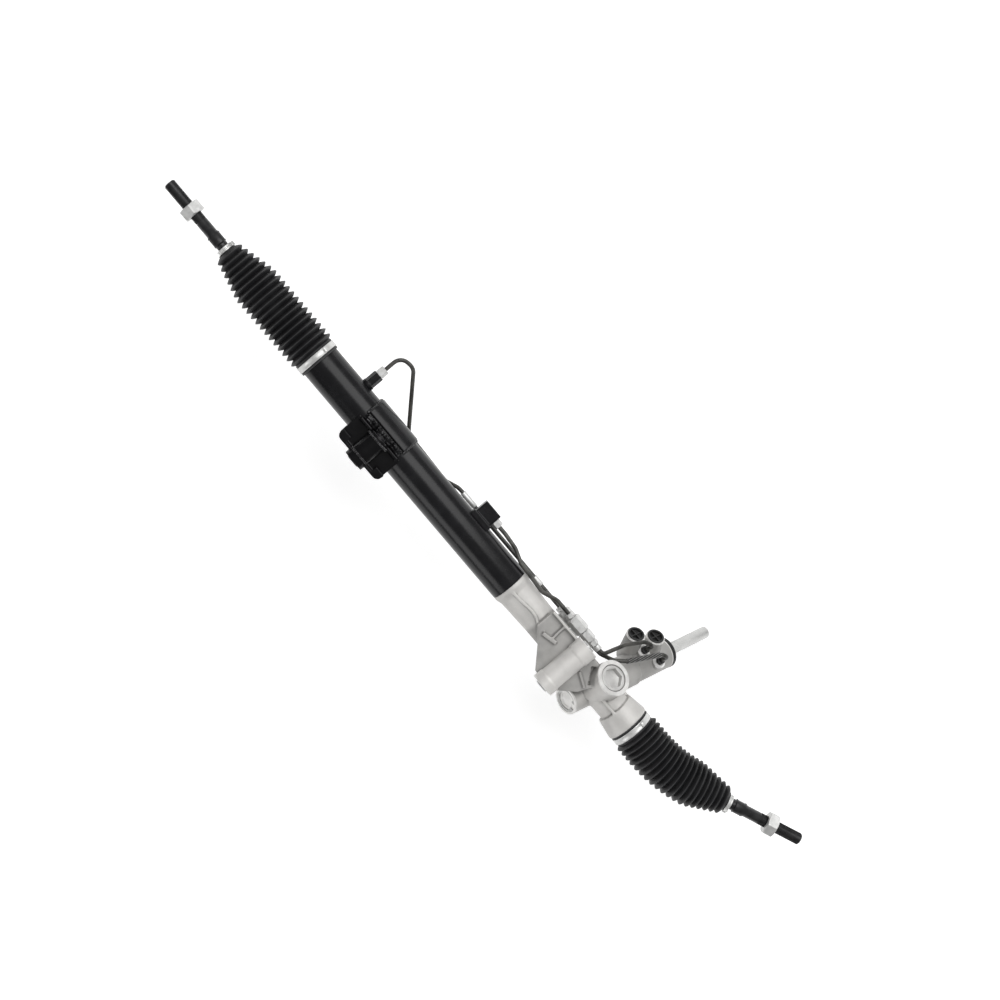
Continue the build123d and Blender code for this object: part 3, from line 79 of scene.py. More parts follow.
Point3 = tuple[float, float, float]
Profile = tuple[Point, ...]
Colour = tuple[float, float, float]
Pattern = tuple[float, float, float]  # of a noise: patches per metre, octaves, strength of the finer octaves


# Places, in millimetres in the part's own frame


@dataclass(frozen=True)
class Station:
    """A place with directions: local z runs along the station, and local x points to its side."""

    origin: Vector
    along: Vector
    side: Vector

    def matrix(self) -> Matrix:
        """Matrix from the station's own coordinates to the part's.

        Returns:
            The matrix, for millimetres on both sides.
        """
        z = self.along.normalized()
        x = (self.side - z * self.side.dot(z)).normalized()
        y = z.cross(x)
        turn = Matrix((x, y, z)).transposed().to_4x4()
        return Matrix.Translation(self.origin) @ turn

    def moved(self, distance: float) -> "Station":
        """Station further along its own axis.

        Args:
            distance: how far, in millimetres.

        Returns:
            The new station, with the same directions.
        """
        return Station(self.origin + self.along.normalized() * distance, self.along, self.side)

    def point(self, x: float, y: float, z: float) -> Vector:
        """A point given in the station's own coordinates, in the part's."""
        return self.matrix() @ Vector((x, y, z))


X = Vector((1, 0, 0))
Y = Vector((0, 1, 0))
Z = Vector((0, 0, 1))
RACK_Y = 8.0
RACK_Z = -42.0
YOKE_TILT = math.radians(36)
PINION_SLANT = math.radians(18)
YOKE_DIR = Vector((0, math.sin(YOKE_TILT), math.cos(YOKE_TILT)))
SQUARE_DIR = Vector((0, math.cos(YOKE_TILT), -math.sin(YOKE_TILT)))
PINION_DIR = SQUARE_DIR * math.cos(PINION_SLANT) + X * math.sin(PINION_SLANT)
SIDE_DIR = PINION_DIR.cross(YOKE_DIR)
CROSSING = Vector((54, RACK_Y, RACK_Z))
PINION_CENTRE = CROSSING - YOKE_DIR * 18
HOSE_LEAN = math.radians(25)
HOSE_DIR = YOKE_DIR * math.cos(HOSE_LEAN) - SIDE_DIR * math.sin(HOSE_LEAN)
HOSE_MOUTHS = ((83.0, -38.0, 36.0), (112.5, -24.0, 34.0))  # along the pinion's axis, to its side, towards the yoke
LINE_PORTS = ((92.8, -14.2), (108.0, 7.5))  # along the pinion's axis and to its side
LINE_SEAT = 24.02  # height at which the valve's lines and nuts stand
BRACKET_X = -375.0
LEFT_BALL = Vector((-591, RACK_Y, RACK_Z))
RIGHT_BALL = Vector((201, RACK_Y, RACK_Z))
RIGHT_STEER = math.radians(21.8)  # how far the right rod stands turned at rest
RIGHT_OUT = Vector((math.cos(RIGHT_STEER), math.sin(RIGHT_STEER), 0))
TUBE_PORTS = ((-436, 54.02, -42), (-196.48, 46, -37))  # seats of the lines on the outboard and inboard port


def rack_station(x: float, direction: Vector = X) -> Station:
    """Station on the rack's axis at x, facing along a direction."""
    return Station(Vector((x, RACK_Y, RACK_Z)), direction, Z)


def pinion_station(along: float) -> Station:
    """Station on the pinion's axis; local x is the yoke's direction."""
    return Station(PINION_CENTRE + PINION_DIR * along, PINION_DIR, YOKE_DIR)


def yoke_station(height: float) -> Station:
    """Station on the yoke's axis, at a height above the rack's axis."""
    return Station(CROSSING + YOKE_DIR * height, YOKE_DIR, X)


def bolt_station(x: float, y: float) -> Station:
    """Station on a mounting bolt's axis, facing +Y."""
    return Station(Vector((x, y, 0)), Y, -X)


def tower_point(along: float, side: float, height: float) -> Vector:
    """Point along the pinion's axis, to its side and towards the yoke."""
    return PINION_CENTRE + PINION_DIR * along + SIDE_DIR * side + YOKE_DIR * height


# Finishes


class Value:
    """A shader socket that takes part in Python sums, each of which adds its Math node."""

    def __init__(self, graph: "Graph", socket: bpy.types.NodeSocket) -> None:
        """Wraps a socket of a node tree."""
        self.graph = graph
        self.socket = socket

    def _math(self, operation: str, first: "Value | float", second: "Value | float" = 0.0) -> "Value":
        """Adds one Math node.

        Args:
            operation: the node's operation.
            first: its first value or link.
            second: its second value or link.

        Returns:
            The node's result.
        """
        return self.graph.node("ShaderNodeMath", {"operation": operation}, {0: first, 1: second})

    def __add__(self, other: "Value | float") -> "Value":
        """Sum."""
        return self._math("ADD", self, other)

    __radd__ = __add__

    def __sub__(self, other: "Value | float") -> "Value":
        """Difference."""
        return self._math("SUBTRACT", self, other)

    def __mul__(self, other: "Value | float") -> "Value":
        """Product."""
        return self._math("MULTIPLY", self, other)

    def larger(self, other: "Value") -> "Value":
        """The larger of two values."""
        return self._math("MAXIMUM", self, other)

    def sine(self) -> "Value":
        """Sine of the value."""
        return self._math("SINE", self)

    def ramp(self, low: float, high: float, start: float = 0.0, end: float = 1.0) -> "Value":
        """Value mapped smoothly from one range to another.

        Args:
            low: input value where the ramp starts.
            high: input value where it ends.
            start: result at low.
            end: result at high.

        Returns:
            The mapped value, held at start and end outside the range.
        """
        return self.graph.node("ShaderNodeMapRange", {"interpolation_type": "SMOOTHSTEP"},
                               {0: self, 1: low, 2: high, 3: start, 4: end})


class Graph:
    """A node tree that is built node by node."""

    def __init__(self, tree: bpy.types.NodeTree) -> None:
        """Takes over a tree."""
        self.tree = tree

    def node(self, kind: str, settings: dict | None = None, inputs: dict | None = None,
             output: int | str = 0) -> Value:
        """Adds one node.

        Args:
            kind: the node's type.
            settings: its properties, set before its sockets.
            inputs: values or links of its sockets, by name or number.
            output: the socket that is wanted.

        Returns:
            That output, ready for sums.
        """
        made = self.tree.nodes.new(kind)
        for name, value in (settings or {}).items():
            setattr(made, name, value)
        for key, value in (inputs or {}).items():
            self.feed(made.inputs[key], value)
        return Value(self, made.outputs[output])

    def feed(self, socket: bpy.types.NodeSocket, value: "Value | float | Sequence[float]") -> None:
        """Gives a socket its value.

        Args:
            socket: an input of a node.
            value: a link, or the socket's own number or colour.
        """
        if isinstance(value, Value):
            self.tree.links.new(value.socket, socket)
        else:
            socket.default_value = value


class Surface(Graph):
    """A material with one Principled shader."""

    def __init__(self, name: str) -> None:
        """Makes an empty material of that name."""
        self.material = bpy.data.materials.new(name)
        self.material.use_nodes = True
        super().__init__(self.material.node_tree)
        self.tree.nodes.clear()
        self.shader = self.tree.nodes.new("ShaderNodeBsdfPrincipled")
        output = self.tree.nodes.new("ShaderNodeOutputMaterial")
        self.tree.links.new(self.shader.outputs[0], output.inputs[0])
        self.place = self.node("ShaderNodeTexCoord", output="Object")

    def set(self, **values: "Value | float | Sequence[float]") -> None:
        """Feeds sockets of the shader, named with underscores for spaces."""
        for name, value in values.items():
            self.feed(self.shader.inputs[name.replace("_", " ")], value)

    def noise(self, pattern: Pattern) -> Value:
        """Noise over the object's own coordinates, from about 0.3 to 0.7."""
        scale, detail, roughness = pattern
        return self.node("ShaderNodeTexNoise", inputs={"Vector": self.place, "Scale": scale, "Detail": detail,
                                                       "Roughness": roughness})

    def pointiness(self) -> Value:
        """How far a point stands out: under 0.5 in creases, over 0.5 on edges."""
        return self.node("ShaderNodeNewGeometry", output="Pointiness")

    def axis(self, name: str) -> Value:
        """One coordinate of a point, in metres: X, Y or Z."""
        return self.node("ShaderNodeSeparateXYZ", inputs={"Vector": self.place}, output=name)

    def mix(self, share: Value, first: Colour, second: Colour) -> Value:
        """Colour between two, by a share from 0 to 1."""
        return self.node("ShaderNodeMix", {"data_type": "RGBA"},
                         {"Factor": share, "A": (*first, 1), "B": (*second, 1)}, "Result")

    def away(self, station: Station) -> Value:
        """Vector from a station's origin to a point."""
        return self.node("ShaderNodeVectorMath", {"operation": "SUBTRACT"},
                         {0: self.place, 1: tuple(station.origin * MM)})

    def distance_from_axis(self, station: Station) -> Value:
        """Distance of a point from a station's axis, in metres."""
        across = self.node("ShaderNodeVectorMath", {"operation": "CROSS_PRODUCT"},
                           {0: self.away(station), 1: tuple(station.along.normalized())})
        return self.node("ShaderNodeVectorMath", {"operation": "LENGTH"}, {0: across}, "Value")

    def distance_along(self, station: Station) -> Value:
        """Distance of a point along a station's axis from its origin, in metres."""
        return self.node("ShaderNodeVectorMath", {"operation": "DOT_PRODUCT"},
                         {0: self.away(station), 1: tuple(station.along.normalized())}, "Value")

    def bump(self, height: Value, depth: float) -> None:
        """Raises the surface by a height pattern.

        Args:
            height: the pattern, about 0 to 1.
            depth: how far 1 stands up, in millimetres.
        """
        self.set(Normal=self.node("ShaderNodeBump", inputs={"Strength": 1.0, "Distance": depth * MM,
                                                            "Height": height}, output="Normal"))


@dataclass(frozen=True)
class CastMetal:
    """Sand-cast aluminium: a fine grainy skin with slight stains, painted shade in its creases, on its web and over the
    valve tower, and painted highlights on its edges and its bolt boss.
    """

    name: str = "cast_aluminium"
    light: Colour = (0.76, 0.745, 0.72)
    dark: Colour = (0.30, 0.295, 0.285)
    roughness: float = 0.55
    metallic: float = 0.30
    grain_depth: float = 0.10
    # Bounds of the painted shadow on the web, in millimetres.
    web_shadow_ends: tuple[float, float] = (-62.0, 46.0)
    web_shadow_top: float = -3.0
    # Where the painted shade over the valve tower starts, along the pinion's axis.
    tower_shade_from: float = 48.0
    boss_highlight_radii: Point = (16.5, 18.5)  # radii from the bolt axis between which the painted highlight on the bolt boss fades out
    cloud: Pattern = (28, 4, 0.55)
    grain: Pattern = (1500, 2, 0.6)
    flow: Pattern = (190, 3, 0.55)

    def make(self) -> bpy.types.Material:
        """Builds the material."""
        skin = Surface(self.name)
        cloud, grain, flow = skin.noise(self.cloud), skin.noise(self.grain), skin.noise(self.flow)
        standing = skin.pointiness()
        # Painted shade: creases are darkened where shade falls.
        painted_crease_shade = standing.ramp(0.44, 0.498, 1.0, 0.0)
        # Painted highlight: convex edges are lightened.
        edge = standing.ramp(0.51, 0.56)
        # Painted shadow: the flat web is darkened as if shaded by the barrel and the neck.
        left, right = self.web_shadow_ends
        along, height = skin.axis("X"), skin.axis("Z")
        web_painted_shadow = (along.ramp((left - 4) * MM, (left + 4) * MM) * along.ramp((right - 4) * MM, (right + 4) * MM, 1.0, 0.0)
               * height.ramp((self.web_shadow_top - 2) * MM, (self.web_shadow_top + 2) * MM, 1.0, 0.0))
        # Painted shade: the valve tower is darkened beyond that station.
        tower_painted_shade = skin.distance_along(pinion_station(self.tower_shade_from)).ramp(-0.008, 0.008)
        # Painted highlight: the bolt boss's barrel is lightened.
        near, far = self.boss_highlight_radii
        boss_painted_highlight = skin.distance_from_axis(bolt_station(0, 0)).ramp(near * MM, far * MM, 1.0, 0.0)
        # The cloud's random tone, with the painted shade and painted highlights laid over it.
        tone_and_painted_light = (cloud.ramp(0.32, 0.66, 0.56, 0.82) - painted_crease_shade * 0.92 + edge * 0.27 - web_painted_shadow * 0.5
                 - tower_painted_shade * 0.38 + boss_painted_highlight * 0.25)
        skin.set(Base_Color=skin.mix(tone_and_painted_light, self.dark, self.light), Metallic=self.metallic,
                 Roughness=self.roughness + (grain - 0.5) * 0.25 + (cloud - 0.5) * 0.15)
        skin.bump(grain * 0.55 + flow * 0.9, self.grain_depth)
        return skin.material


@dataclass(frozen=True)
class GlossPaint:
    """Black gloss paint on steel, with the slight waves of a sprayed coat."""

    name: str
    colour: Colour = (0.0055, 0.0055, 0.0065)
    roughness: float = 0.24
    orange_peel: float = 0.05
    gloss: float = 0.27
    peel: Pattern = (420, 2, 0.5)
    dust: Pattern = (60, 4, 0.6)

    def make(self) -> bpy.types.Material:
        """Builds the material."""
        coat = Surface(self.name)
        dust = coat.noise(self.dust)
        dusty = tuple(c * 1.4 + 0.002 for c in self.colour)
        coat.set(Base_Color=coat.mix(dust.ramp(0.4, 0.75), self.colour, dusty),
                 Roughness=self.roughness + (dust - 0.5) * 0.12, Specular_IOR_Level=self.gloss)
        coat.bump(coat.noise(self.peel), self.orange_peel)
        return coat.material


@dataclass(frozen=True)
class Rubber:
    """Moulded black rubber with a faint bloom, and painted highlights along the crests of its folds."""

    name: str
    colour: Colour = (0.011, 0.011, 0.012)
    bloom_and_crest_highlight: Colour = (0.080, 0.080, 0.082)
    roughness: float = 0.52
    haze: Pattern = (35, 4, 0.6)
    pores: Pattern = (2200, 2, 0.6)

    def make(self) -> bpy.types.Material:
        """Builds the material."""
        skin = Surface(self.name)
        haze = skin.noise(self.haze)
        # Painted highlight along convex crests, such as the bellows' folds; the haze is the rubber's bloom.
        crest = skin.pointiness().ramp(0.515, 0.60)
        skin.set(Base_Color=skin.mix(haze.ramp(0.4, 0.75, 0.0, 0.12) + crest * 0.8, self.colour, self.bloom_and_crest_highlight),
                 Roughness=self.roughness + (haze - 0.5) * 0.25, Specular_IOR_Level=0.35)
        skin.bump(skin.noise(self.pores), 0.05)
        return skin.material


@dataclass(frozen=True)
class PlatedSteel:
    """Bright zinc plating with a fine grain and faint wear."""

    name: str
    light: Colour = (0.72, 0.72, 0.71)
    dark: Colour = (0.58, 0.58, 0.57)
    roughness: float = 0.38
    metallic: float = 0.45
    grain: float = 0.035
    cloud: Pattern = (85, 4, 0.6)
    fine: Pattern = (1300, 3, 0.6)

    def make(self) -> bpy.types.Material:
        """Builds the material."""
        plate = Surface(self.name)
        cloud, fine = plate.noise(self.cloud), plate.noise(self.fine)
        plate.set(Base_Color=plate.mix(cloud.ramp(0.36, 0.6), self.dark, self.light), Metallic=self.metallic,
                  Roughness=self.roughness + (cloud - 0.5) * 0.22 + (fine - 0.5) * 0.14)
        plate.bump(fine, self.grain)
        return plate.material


@dataclass(frozen=True)
class TurnedMetal:
    """Metal cut on a lathe: fine rings round its own axis."""

    name: str
    station: Station
    light: Colour = (0.84, 0.83, 0.81)
    dark: Colour = (0.70, 0.69, 0.67)
    roughness: float = 0.42
    metallic: float = 0.45
    ring_pitch: float = 0.35
    ring_depth: float = 0.02
    cloud: Pattern = (70, 4, 0.6)
    fine: Pattern = (900, 2, 0.5)

    def make(self) -> bpy.types.Material:
        """Builds the material."""
        cut = Surface(self.name)
        radius = cut.distance_from_axis(self.station)
        rings = (radius * (TURN / (self.ring_pitch * MM))).sine()
        cloud = cut.noise(self.cloud)
        cut.set(Base_Color=cut.mix(cloud.ramp(0.35, 0.62), self.dark, self.light), Metallic=self.metallic,
                Roughness=self.roughness + (cloud - 0.5) * 0.2 + rings * 0.04)
        cut.bump(rings * 0.5 + cut.noise(self.fine), self.ring_depth)
        return cut.material


@dataclass(frozen=True)
class GroundSteel:
    """Ground steel with fine lines round an axis, and a light cloud of oxide."""

    name: str
    station: Station
    light: Colour = (0.62, 0.62, 0.61)
    dark: Colour = (0.42, 0.42, 0.41)
    roughness: float = 0.33
    cloud: Pattern = (55, 4, 0.6)
    lines_per_metre: float = 2600.0

    def make(self) -> bpy.types.Material:
        """Builds the material."""
        cut = Surface(self.name)
        place = cut.distance_along(self.station)
        lines = cut.node("ShaderNodeTexNoise", {"noise_dimensions": "1D"},
                         {"W": place, "Scale": self.lines_per_metre, "Detail": 2.0})
        cloud = cut.noise(self.cloud)
        cut.set(Base_Color=cut.mix(cloud.ramp(0.36, 0.64), self.dark, self.light), Metallic=0.95,
                Roughness=self.roughness + (cloud - 0.5) * 0.2 + (lines - 0.5) * 0.2)
        cut.bump(lines, 0.02)
        return cut.material


@dataclass(frozen=True)
class WoundGuard:
    """A black guard wound of strands, which run nearly along the line; its pale stripes are painted highlights on the
    coils.
    """

    name: str
    station: Station
    coil_highlight: Colour = (0.25, 0.245, 0.235)
    black: Colour = (0.012, 0.012, 0.012)
    strand: float = 2.4
    wear_and_highlight_breaks: Pattern = (260, 3, 0.6)

    def make(self) -> bpy.types.Material:
        """Builds the material."""
        wound = Surface(self.name)
        strands = (wound.distance_along(self.station) * (TURN / (self.strand * MM))).sine()
        wear_and_highlight_breaks = wound.noise(self.wear_and_highlight_breaks)
        # Painted highlights: pale stripes along the coils, broken up by the noise.
        wound.set(Base_Color=wound.mix(strands.ramp(0.3, 0.8) * wear_and_highlight_breaks.ramp(0.3, 0.55, 0.35, 1.0), self.black, self.coil_highlight),
                  Roughness=0.42 + (wear_and_highlight_breaks - 0.5) * 0.3)
        wound.bump(strands, 0.12)
        return wound.material


@dataclass(frozen=True)
class Plastic:
    """Moulded plastic with a fine eroded texture."""

    name: str
    colour: Colour
    roughness: float = 0.45
    texture: Pattern = (1800, 2, 0.6)
    haze: Pattern = (60, 3, 0.6)

    def make(self) -> bpy.types.Material:
        """Builds the material."""
        moulded = Surface(self.name)
        haze = moulded.noise(self.haze)
        paler = tuple(min(1.0, c * 1.35 + 0.006) for c in self.colour)
        moulded.set(Base_Color=moulded.mix(haze.ramp(0.4, 0.7), self.colour, paler),
                    Roughness=self.roughness + (haze - 0.5) * 0.2)
        moulded.bump(moulded.noise(self.texture), 0.03)
        return moulded.material


class Slot(Enum):
    """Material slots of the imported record."""

    CAST = "cast_aluminium"
    PAINT = "black_paint"
    BUSH = "bush_rubber"
    BELLOWS = "bellows_rubber"
    SEAL = "seal_rubber"
    SEAL_PLASTIC = "seal_plastic"
    ZINC = "zinc_steel"
    GROUND = "ground_steel"
    BLACK_STEEL = "black_steel"
    DARK_STEEL = "dark_steel"
    YOKE = "yoke_aluminium"
    BRONZE = "bearing_bronze"
    PLASTIC = "black_plastic"
    LINE = "line_steel"


class Finishes:
    """The part's materials, one for each slot; what belongs to one piece is made with it."""

    def __init__(self) -> None:
        """Builds the materials of the record's slots."""
        self.of: dict[Slot, bpy.types.Material] = {
            Slot.CAST: CastMetal().make(),
            Slot.PAINT: GlossPaint("black_paint").make(),
            Slot.BUSH: Rubber("bush_rubber").make(),
            Slot.BELLOWS: Rubber("bellows_rubber").make(),
            Slot.SEAL: Rubber("seal_rubber", roughness=0.42).make(),
            Slot.SEAL_PLASTIC: Plastic("seal_plastic", (0.72, 0.69, 0.60)).make(),
            Slot.ZINC: PlatedSteel("zinc_steel").make(),
            Slot.GROUND: GroundSteel("ground_steel", rack_station(0)).make(),
            Slot.BLACK_STEEL: PlatedSteel("black_steel", (0.024, 0.024, 0.025), (0.010, 0.010, 0.011), 0.34,
                                          0.25, 0.06).make(),
            Slot.DARK_STEEL: PlatedSteel("dark_steel", (0.16, 0.16, 0.16), (0.09, 0.09, 0.09), 0.38, 0.9).make(),
            Slot.YOKE: TurnedMetal("yoke_aluminium", yoke_station(0), (0.66, 0.655, 0.64), (0.54, 0.535, 0.52)).make(),
            Slot.BRONZE: PlatedSteel("bearing_bronze", (0.60, 0.44, 0.24), (0.42, 0.30, 0.16), 0.4, 0.9).make(),
            Slot.PLASTIC: Plastic("black_plastic", (0.010, 0.010, 0.010), 0.5).make(),
            Slot.LINE: PlatedSteel("line_steel", (0.085, 0.083, 0.076), (0.035, 0.034, 0.031), 0.36, 0.3, 0.09).make(),
        }


# Shapes


class Shape:
    """A mesh in millimetres, built with operators, that becomes a named piece in metres."""

    def __init__(self) -> None:
        """Starts an empty mesh."""
        self.mesh = bmesh.new()

    def turned(self, station: Station, profile: Sequence[Point], round_off: float = 0.0,
               segments: int = 72) -> "Shape":
        """Adds a solid of revolution.

        Args:
            station: its axis; heights run along it from the origin.
            profile: corners as (radius, height), round the section; both ends at radius 0 leave the axis open.
            round_off: radius of the rounded corners.
            segments: steps of the full turn.

        Returns:
            The shape itself.
        """
        work = bmesh.new()
        corners = [work.verts.new((radius, 0, height)) for radius, height in profile]
        work.faces.new(corners)
        if round_off > 0:
            off_axis = [vertex for vertex in corners if vertex.co.x > 1e-6]
            bmesh.ops.bevel(work, geom=off_axis, offset=round_off, offset_type="OFFSET", segments=3, profile=0.5,
                            affect="VERTICES", material=-1, clamp_overlap=True)
        bmesh.ops.delete(work, geom=[face for face in work.faces], context="FACES_ONLY")
        on_axis = [edge for edge in work.edges if all(vertex.co.x < 1e-6 for vertex in edge.verts)]
        bmesh.ops.delete(work, geom=on_axis, context="EDGES")
        bmesh.ops.spin(work, geom=work.verts[:] + work.edges[:], cent=(0, 0, 0), axis=(0, 0, 1), dvec=(0, 0, 0),
                       angle=TURN, steps=segments, use_merge=True, use_duplicate=False)
        bmesh.ops.remove_doubles(work, verts=work.verts, dist=1e-4)
        bmesh.ops.recalc_face_normals(work, faces=work.faces)
        return self._take(work, station.matrix())

    def tube(self, station: Station, bore: float, radius: float, length: float, round_off: float = 0.0,
             segments: int = 72) -> "Shape":
        """Adds a plain tube that starts at a station, rounded and divided as turned() does it."""
        return self.turned(station, [(bore, 0), (radius, 0), (radius, length), (bore, length)], round_off, segments)

    def prism(self, station: Station, outline: Sequence[Point], height: float, round_off: float = 0.0) -> "Shape":
        """Adds a prism on a station's plane.

        Args:
            station: its foot; local x and y carry the outline.
            outline: corners as (x, y).
            height: along the station.
            round_off: width of the bevel on every edge.

        Returns:
            The shape itself.
        """
        work = bmesh.new()
        face = work.faces.new([work.verts.new((x, y, 0)) for x, y in outline])
        grown = bmesh.ops.extrude_face_region(work, geom=[face])
        tops = [item for item in grown["geom"] if isinstance(item, bmesh.types.BMVert)]
        bmesh.ops.translate(work, verts=tops, vec=(0, 0, height))
        bmesh.ops.recalc_face_normals(work, faces=work.faces)
        if round_off > 0:
            bmesh.ops.bevel(work, geom=work.edges[:], offset=round_off, offset_type="OFFSET", segments=2,
                            profile=0.5, affect="EDGES", material=-1, clamp_overlap=True)
        return self._take(work, station.matrix())

    def box(self, station: Station, size: Point3, round_off: float) -> "Shape":
        """Adds a box that stands on a station, centred on its axis.

        Args:
            station: its foot.
            size: its lengths along local x, y and z.
            round_off: width of the bevel on every edge.

        Returns:
            The shape itself.
        """
        half_x, half_y, height = size[0] / 2, size[1] / 2, size[2]
        outline = [(-half_x, -half_y), (half_x, -half_y), (half_x, half_y), (-half_x, half_y)]
        return self.prism(station, outline, height, round_off)

    def thread(self, station: Station, radius: float, pitch: float, length: float) -> "Shape":
        """Adds the helical ridge of a screw thread.

        Args:
            station: where the thread starts; it runs along the station.
            radius: of the crest.
            pitch: of one turn.
            length: of the threaded run.

        Returns:
            The shape itself.
        """
        work = bmesh.new()
        root, half = radius - pitch * THREAD_DEPTH - 0.3, pitch * THREAD_CREST / 2
        section = ((root, -pitch * 0.47), (radius, -half), (radius, half), (root, pitch * 0.47))
        corners = [work.verts.new((r, 0, h)) for r, h in section]
        first = work.faces.new(corners)
        turns = length / pitch
        steps = round(THREAD_STEPS * turns)
        bmesh.ops.spin(work, geom=[first], cent=(0, 0, 0), axis=(0, 0, 1), dvec=(0, 0, length / steps),
                       angle=TURN * turns, steps=steps, use_merge=False, use_duplicate=True)
        bmesh.ops.remove_doubles(work, verts=work.verts, dist=1e-5)
        bmesh.ops.recalc_face_normals(work, faces=work.faces)
        return self._take(work, station.matrix())

    def copied(self, node: str) -> "Shape":
        """Adds a merged copy of a CAD node's mesh.

        Args:
            node: its name in the frame.

        Returns:
            The shape itself.
        """
        work = bmesh.new()
        work.from_mesh(frame["nodes"][node].data)
        bmesh.ops.scale(work, vec=(1 / MM,) * 3, verts=work.verts)
        bmesh.ops.remove_doubles(work, verts=work.verts, dist=0.002)
        return self._take(work, Matrix.Identity(4))

    def reshaped(self, change: Callable[[Vector], Vector]) -> "Shape":
        """Moves every vertex by a rule.

        Args:
            change: gives the new place for an old one, both in millimetres.

        Returns:
            The shape itself.
        """
        for vertex in self.mesh.verts:
            vertex.co = change(vertex.co.copy())
        return self

    def _take(self, work: bmesh.types.BMesh, matrix: Matrix) -> "Shape":
        """Moves a finished work mesh to its place and adds it to this one.

        Args:
            work: the mesh, which is used up.
            matrix: from its own coordinates to the part's.

        Returns:
            The shape itself.
        """
        bmesh.ops.transform(work, matrix=matrix, verts=work.verts)
        holder = bpy.data.meshes.new("work")
        work.to_mesh(holder)
        work.free()
        self.mesh.from_mesh(holder)
        bpy.data.meshes.remove(holder)
        return self

    def object(self, name: str) -> bpy.types.Object:
        """Makes the plain object, in metres.

        Args:
            name: of the object and its mesh.

        Returns:
            The object, undressed. The shape is used up.
        """
        bmesh.ops.scale(self.mesh, vec=(MM,) * 3, verts=self.mesh.verts)
        data = bpy.data.meshes.new(name)
        self.mesh.to_mesh(data)
        self.mesh.free()
        return placed(name, data)


def placed(name: str, data: bpy.types.ID) -> bpy.types.Object:
    """Links a new object of some data to the scene.

    Args:
        name: of the object.
        data: its mesh, curve, lamp or camera.

    Returns:
        The object.
    """
    made = bpy.data.objects.new(name, data)
    bpy.context.scene.collection.objects.link(made)
    return made


def evaluated(piece: bpy.types.Object) -> bpy.types.Mesh:
    """A new mesh from an object's curve or from its mesh with the modifiers.

    Args:
        piece: the object, which stays as it is.

    Returns:
        The mesh.
    """
    graph = bpy.context.evaluated_depsgraph_get()
    graph.update()
    return bpy.data.meshes.new_from_object(piece.evaluated_get(graph))


def modified(piece: bpy.types.Object, kind: str, **settings: bpy.types.Object | float | str) -> None:
    """Bakes one modifier into an object's mesh.

    Args:
        piece: the object.
        kind: the modifier's type.
        **settings: its properties.
    """
    step = piece.modifiers.new(kind, kind)
    for name, value in settings.items():
        setattr(step, name, value)
    baked, old = evaluated(piece), piece.data
    piece.modifiers.clear()
    piece.data = baked
    bpy.data.meshes.remove(old)
    baked.name = piece.name


def combine(piece: bpy.types.Object, tool: bpy.types.Object, operation: str) -> bpy.types.Object:
    """Cuts or intersects one object with another, which is then removed.

    Args:
        piece: the object that is kept.
        tool: the other object.
        operation: DIFFERENCE or INTERSECT.

    Returns:
        The piece.
    """
    modified(piece, "BOOLEAN", object=tool, operation=operation, solver="EXACT")
    bpy.data.objects.remove(tool)
    return piece


def hex_outline(corner: float) -> list[Point]:
    """Corners of a hexagon, by their distance from its middle."""
    return [(corner * math.cos(TURN * i / 6), corner * math.sin(TURN * i / 6)) for i in range(6)]


def hexagon(name: str, station: Station, across: float, length: float, bore: float,
            chamfer: float = 0.6) -> bpy.types.Object:
    """A nut: a chamfered disc cut to six flats.

    Args:
        name: of the object.
        station: its foot and axis.
        across: width across the flats.
        length: along the axis.
        bore: radius of the hole.
        chamfer: depth of the chamfers along the axis.

    Returns:
        The plain object, undressed.
    """
    corner = across / 2 * CORNER_OF_HEX
    rim = across / 2 * 0.97
    disc = Shape().turned(station, [(bore, 0), (rim, 0), (corner, chamfer), (corner, length - chamfer), (rim, length),
                                    (bore, length)], segments=60)
    flats = Shape().prism(station.moved(-1), hex_outline(corner), length + 2)
    return combine(disc.object(name), flats.object(name + "_flats"), "INTERSECT")


def rod_path(name: str, points: Sequence[Vector], bends: Sequence[float], radius: float) -> bpy.types.Object:
    """A bent tube along straight runs with rounded bends.

    Args:
        name: of the object.
        points: corners of the run, in millimetres.
        bends: radius of the bend at each inner corner.
        radius: of the tube.

    Returns:
        The tube as a mesh object, with closed ends.
    """
    curve = bpy.data.curves.new(name, "CURVE")
    curve.dimensions = "3D"
    curve.bevel_depth = radius * MM
    curve.bevel_resolution = 5
    curve.use_fill_caps = True
    curve.resolution_u = 8
    knots: list[tuple[Vector, Vector, Vector]] = [(points[0], points[0], points[0])]
    for before, corner, after, bend in zip(points, points[1:], points[2:], bends):
        into = (corner - before).normalized()
        out = (after - corner).normalized()
        angle = into.angle(out)
        reach = bend * math.tan(angle / 2)
        grip = bend * 4 / 3 * math.tan(angle / 4)
        start = corner - into * reach
        end = corner + out * reach
        knots.append((start - into * grip * 0.1, start, start + into * grip))
        knots.append((end - out * grip, end, end + out * grip * 0.1))
    knots.append((points[-1], points[-1], points[-1]))
    spline = curve.splines.new("BEZIER")
    spline.bezier_points.add(len(knots) - 1)
    for knot, (left, at, right) in zip(spline.bezier_points, knots):
        knot.handle_left_type = knot.handle_right_type = "FREE"
        knot.handle_left, knot.co, knot.handle_right = left * MM, at * MM, right * MM
    return as_mesh(name, curve)


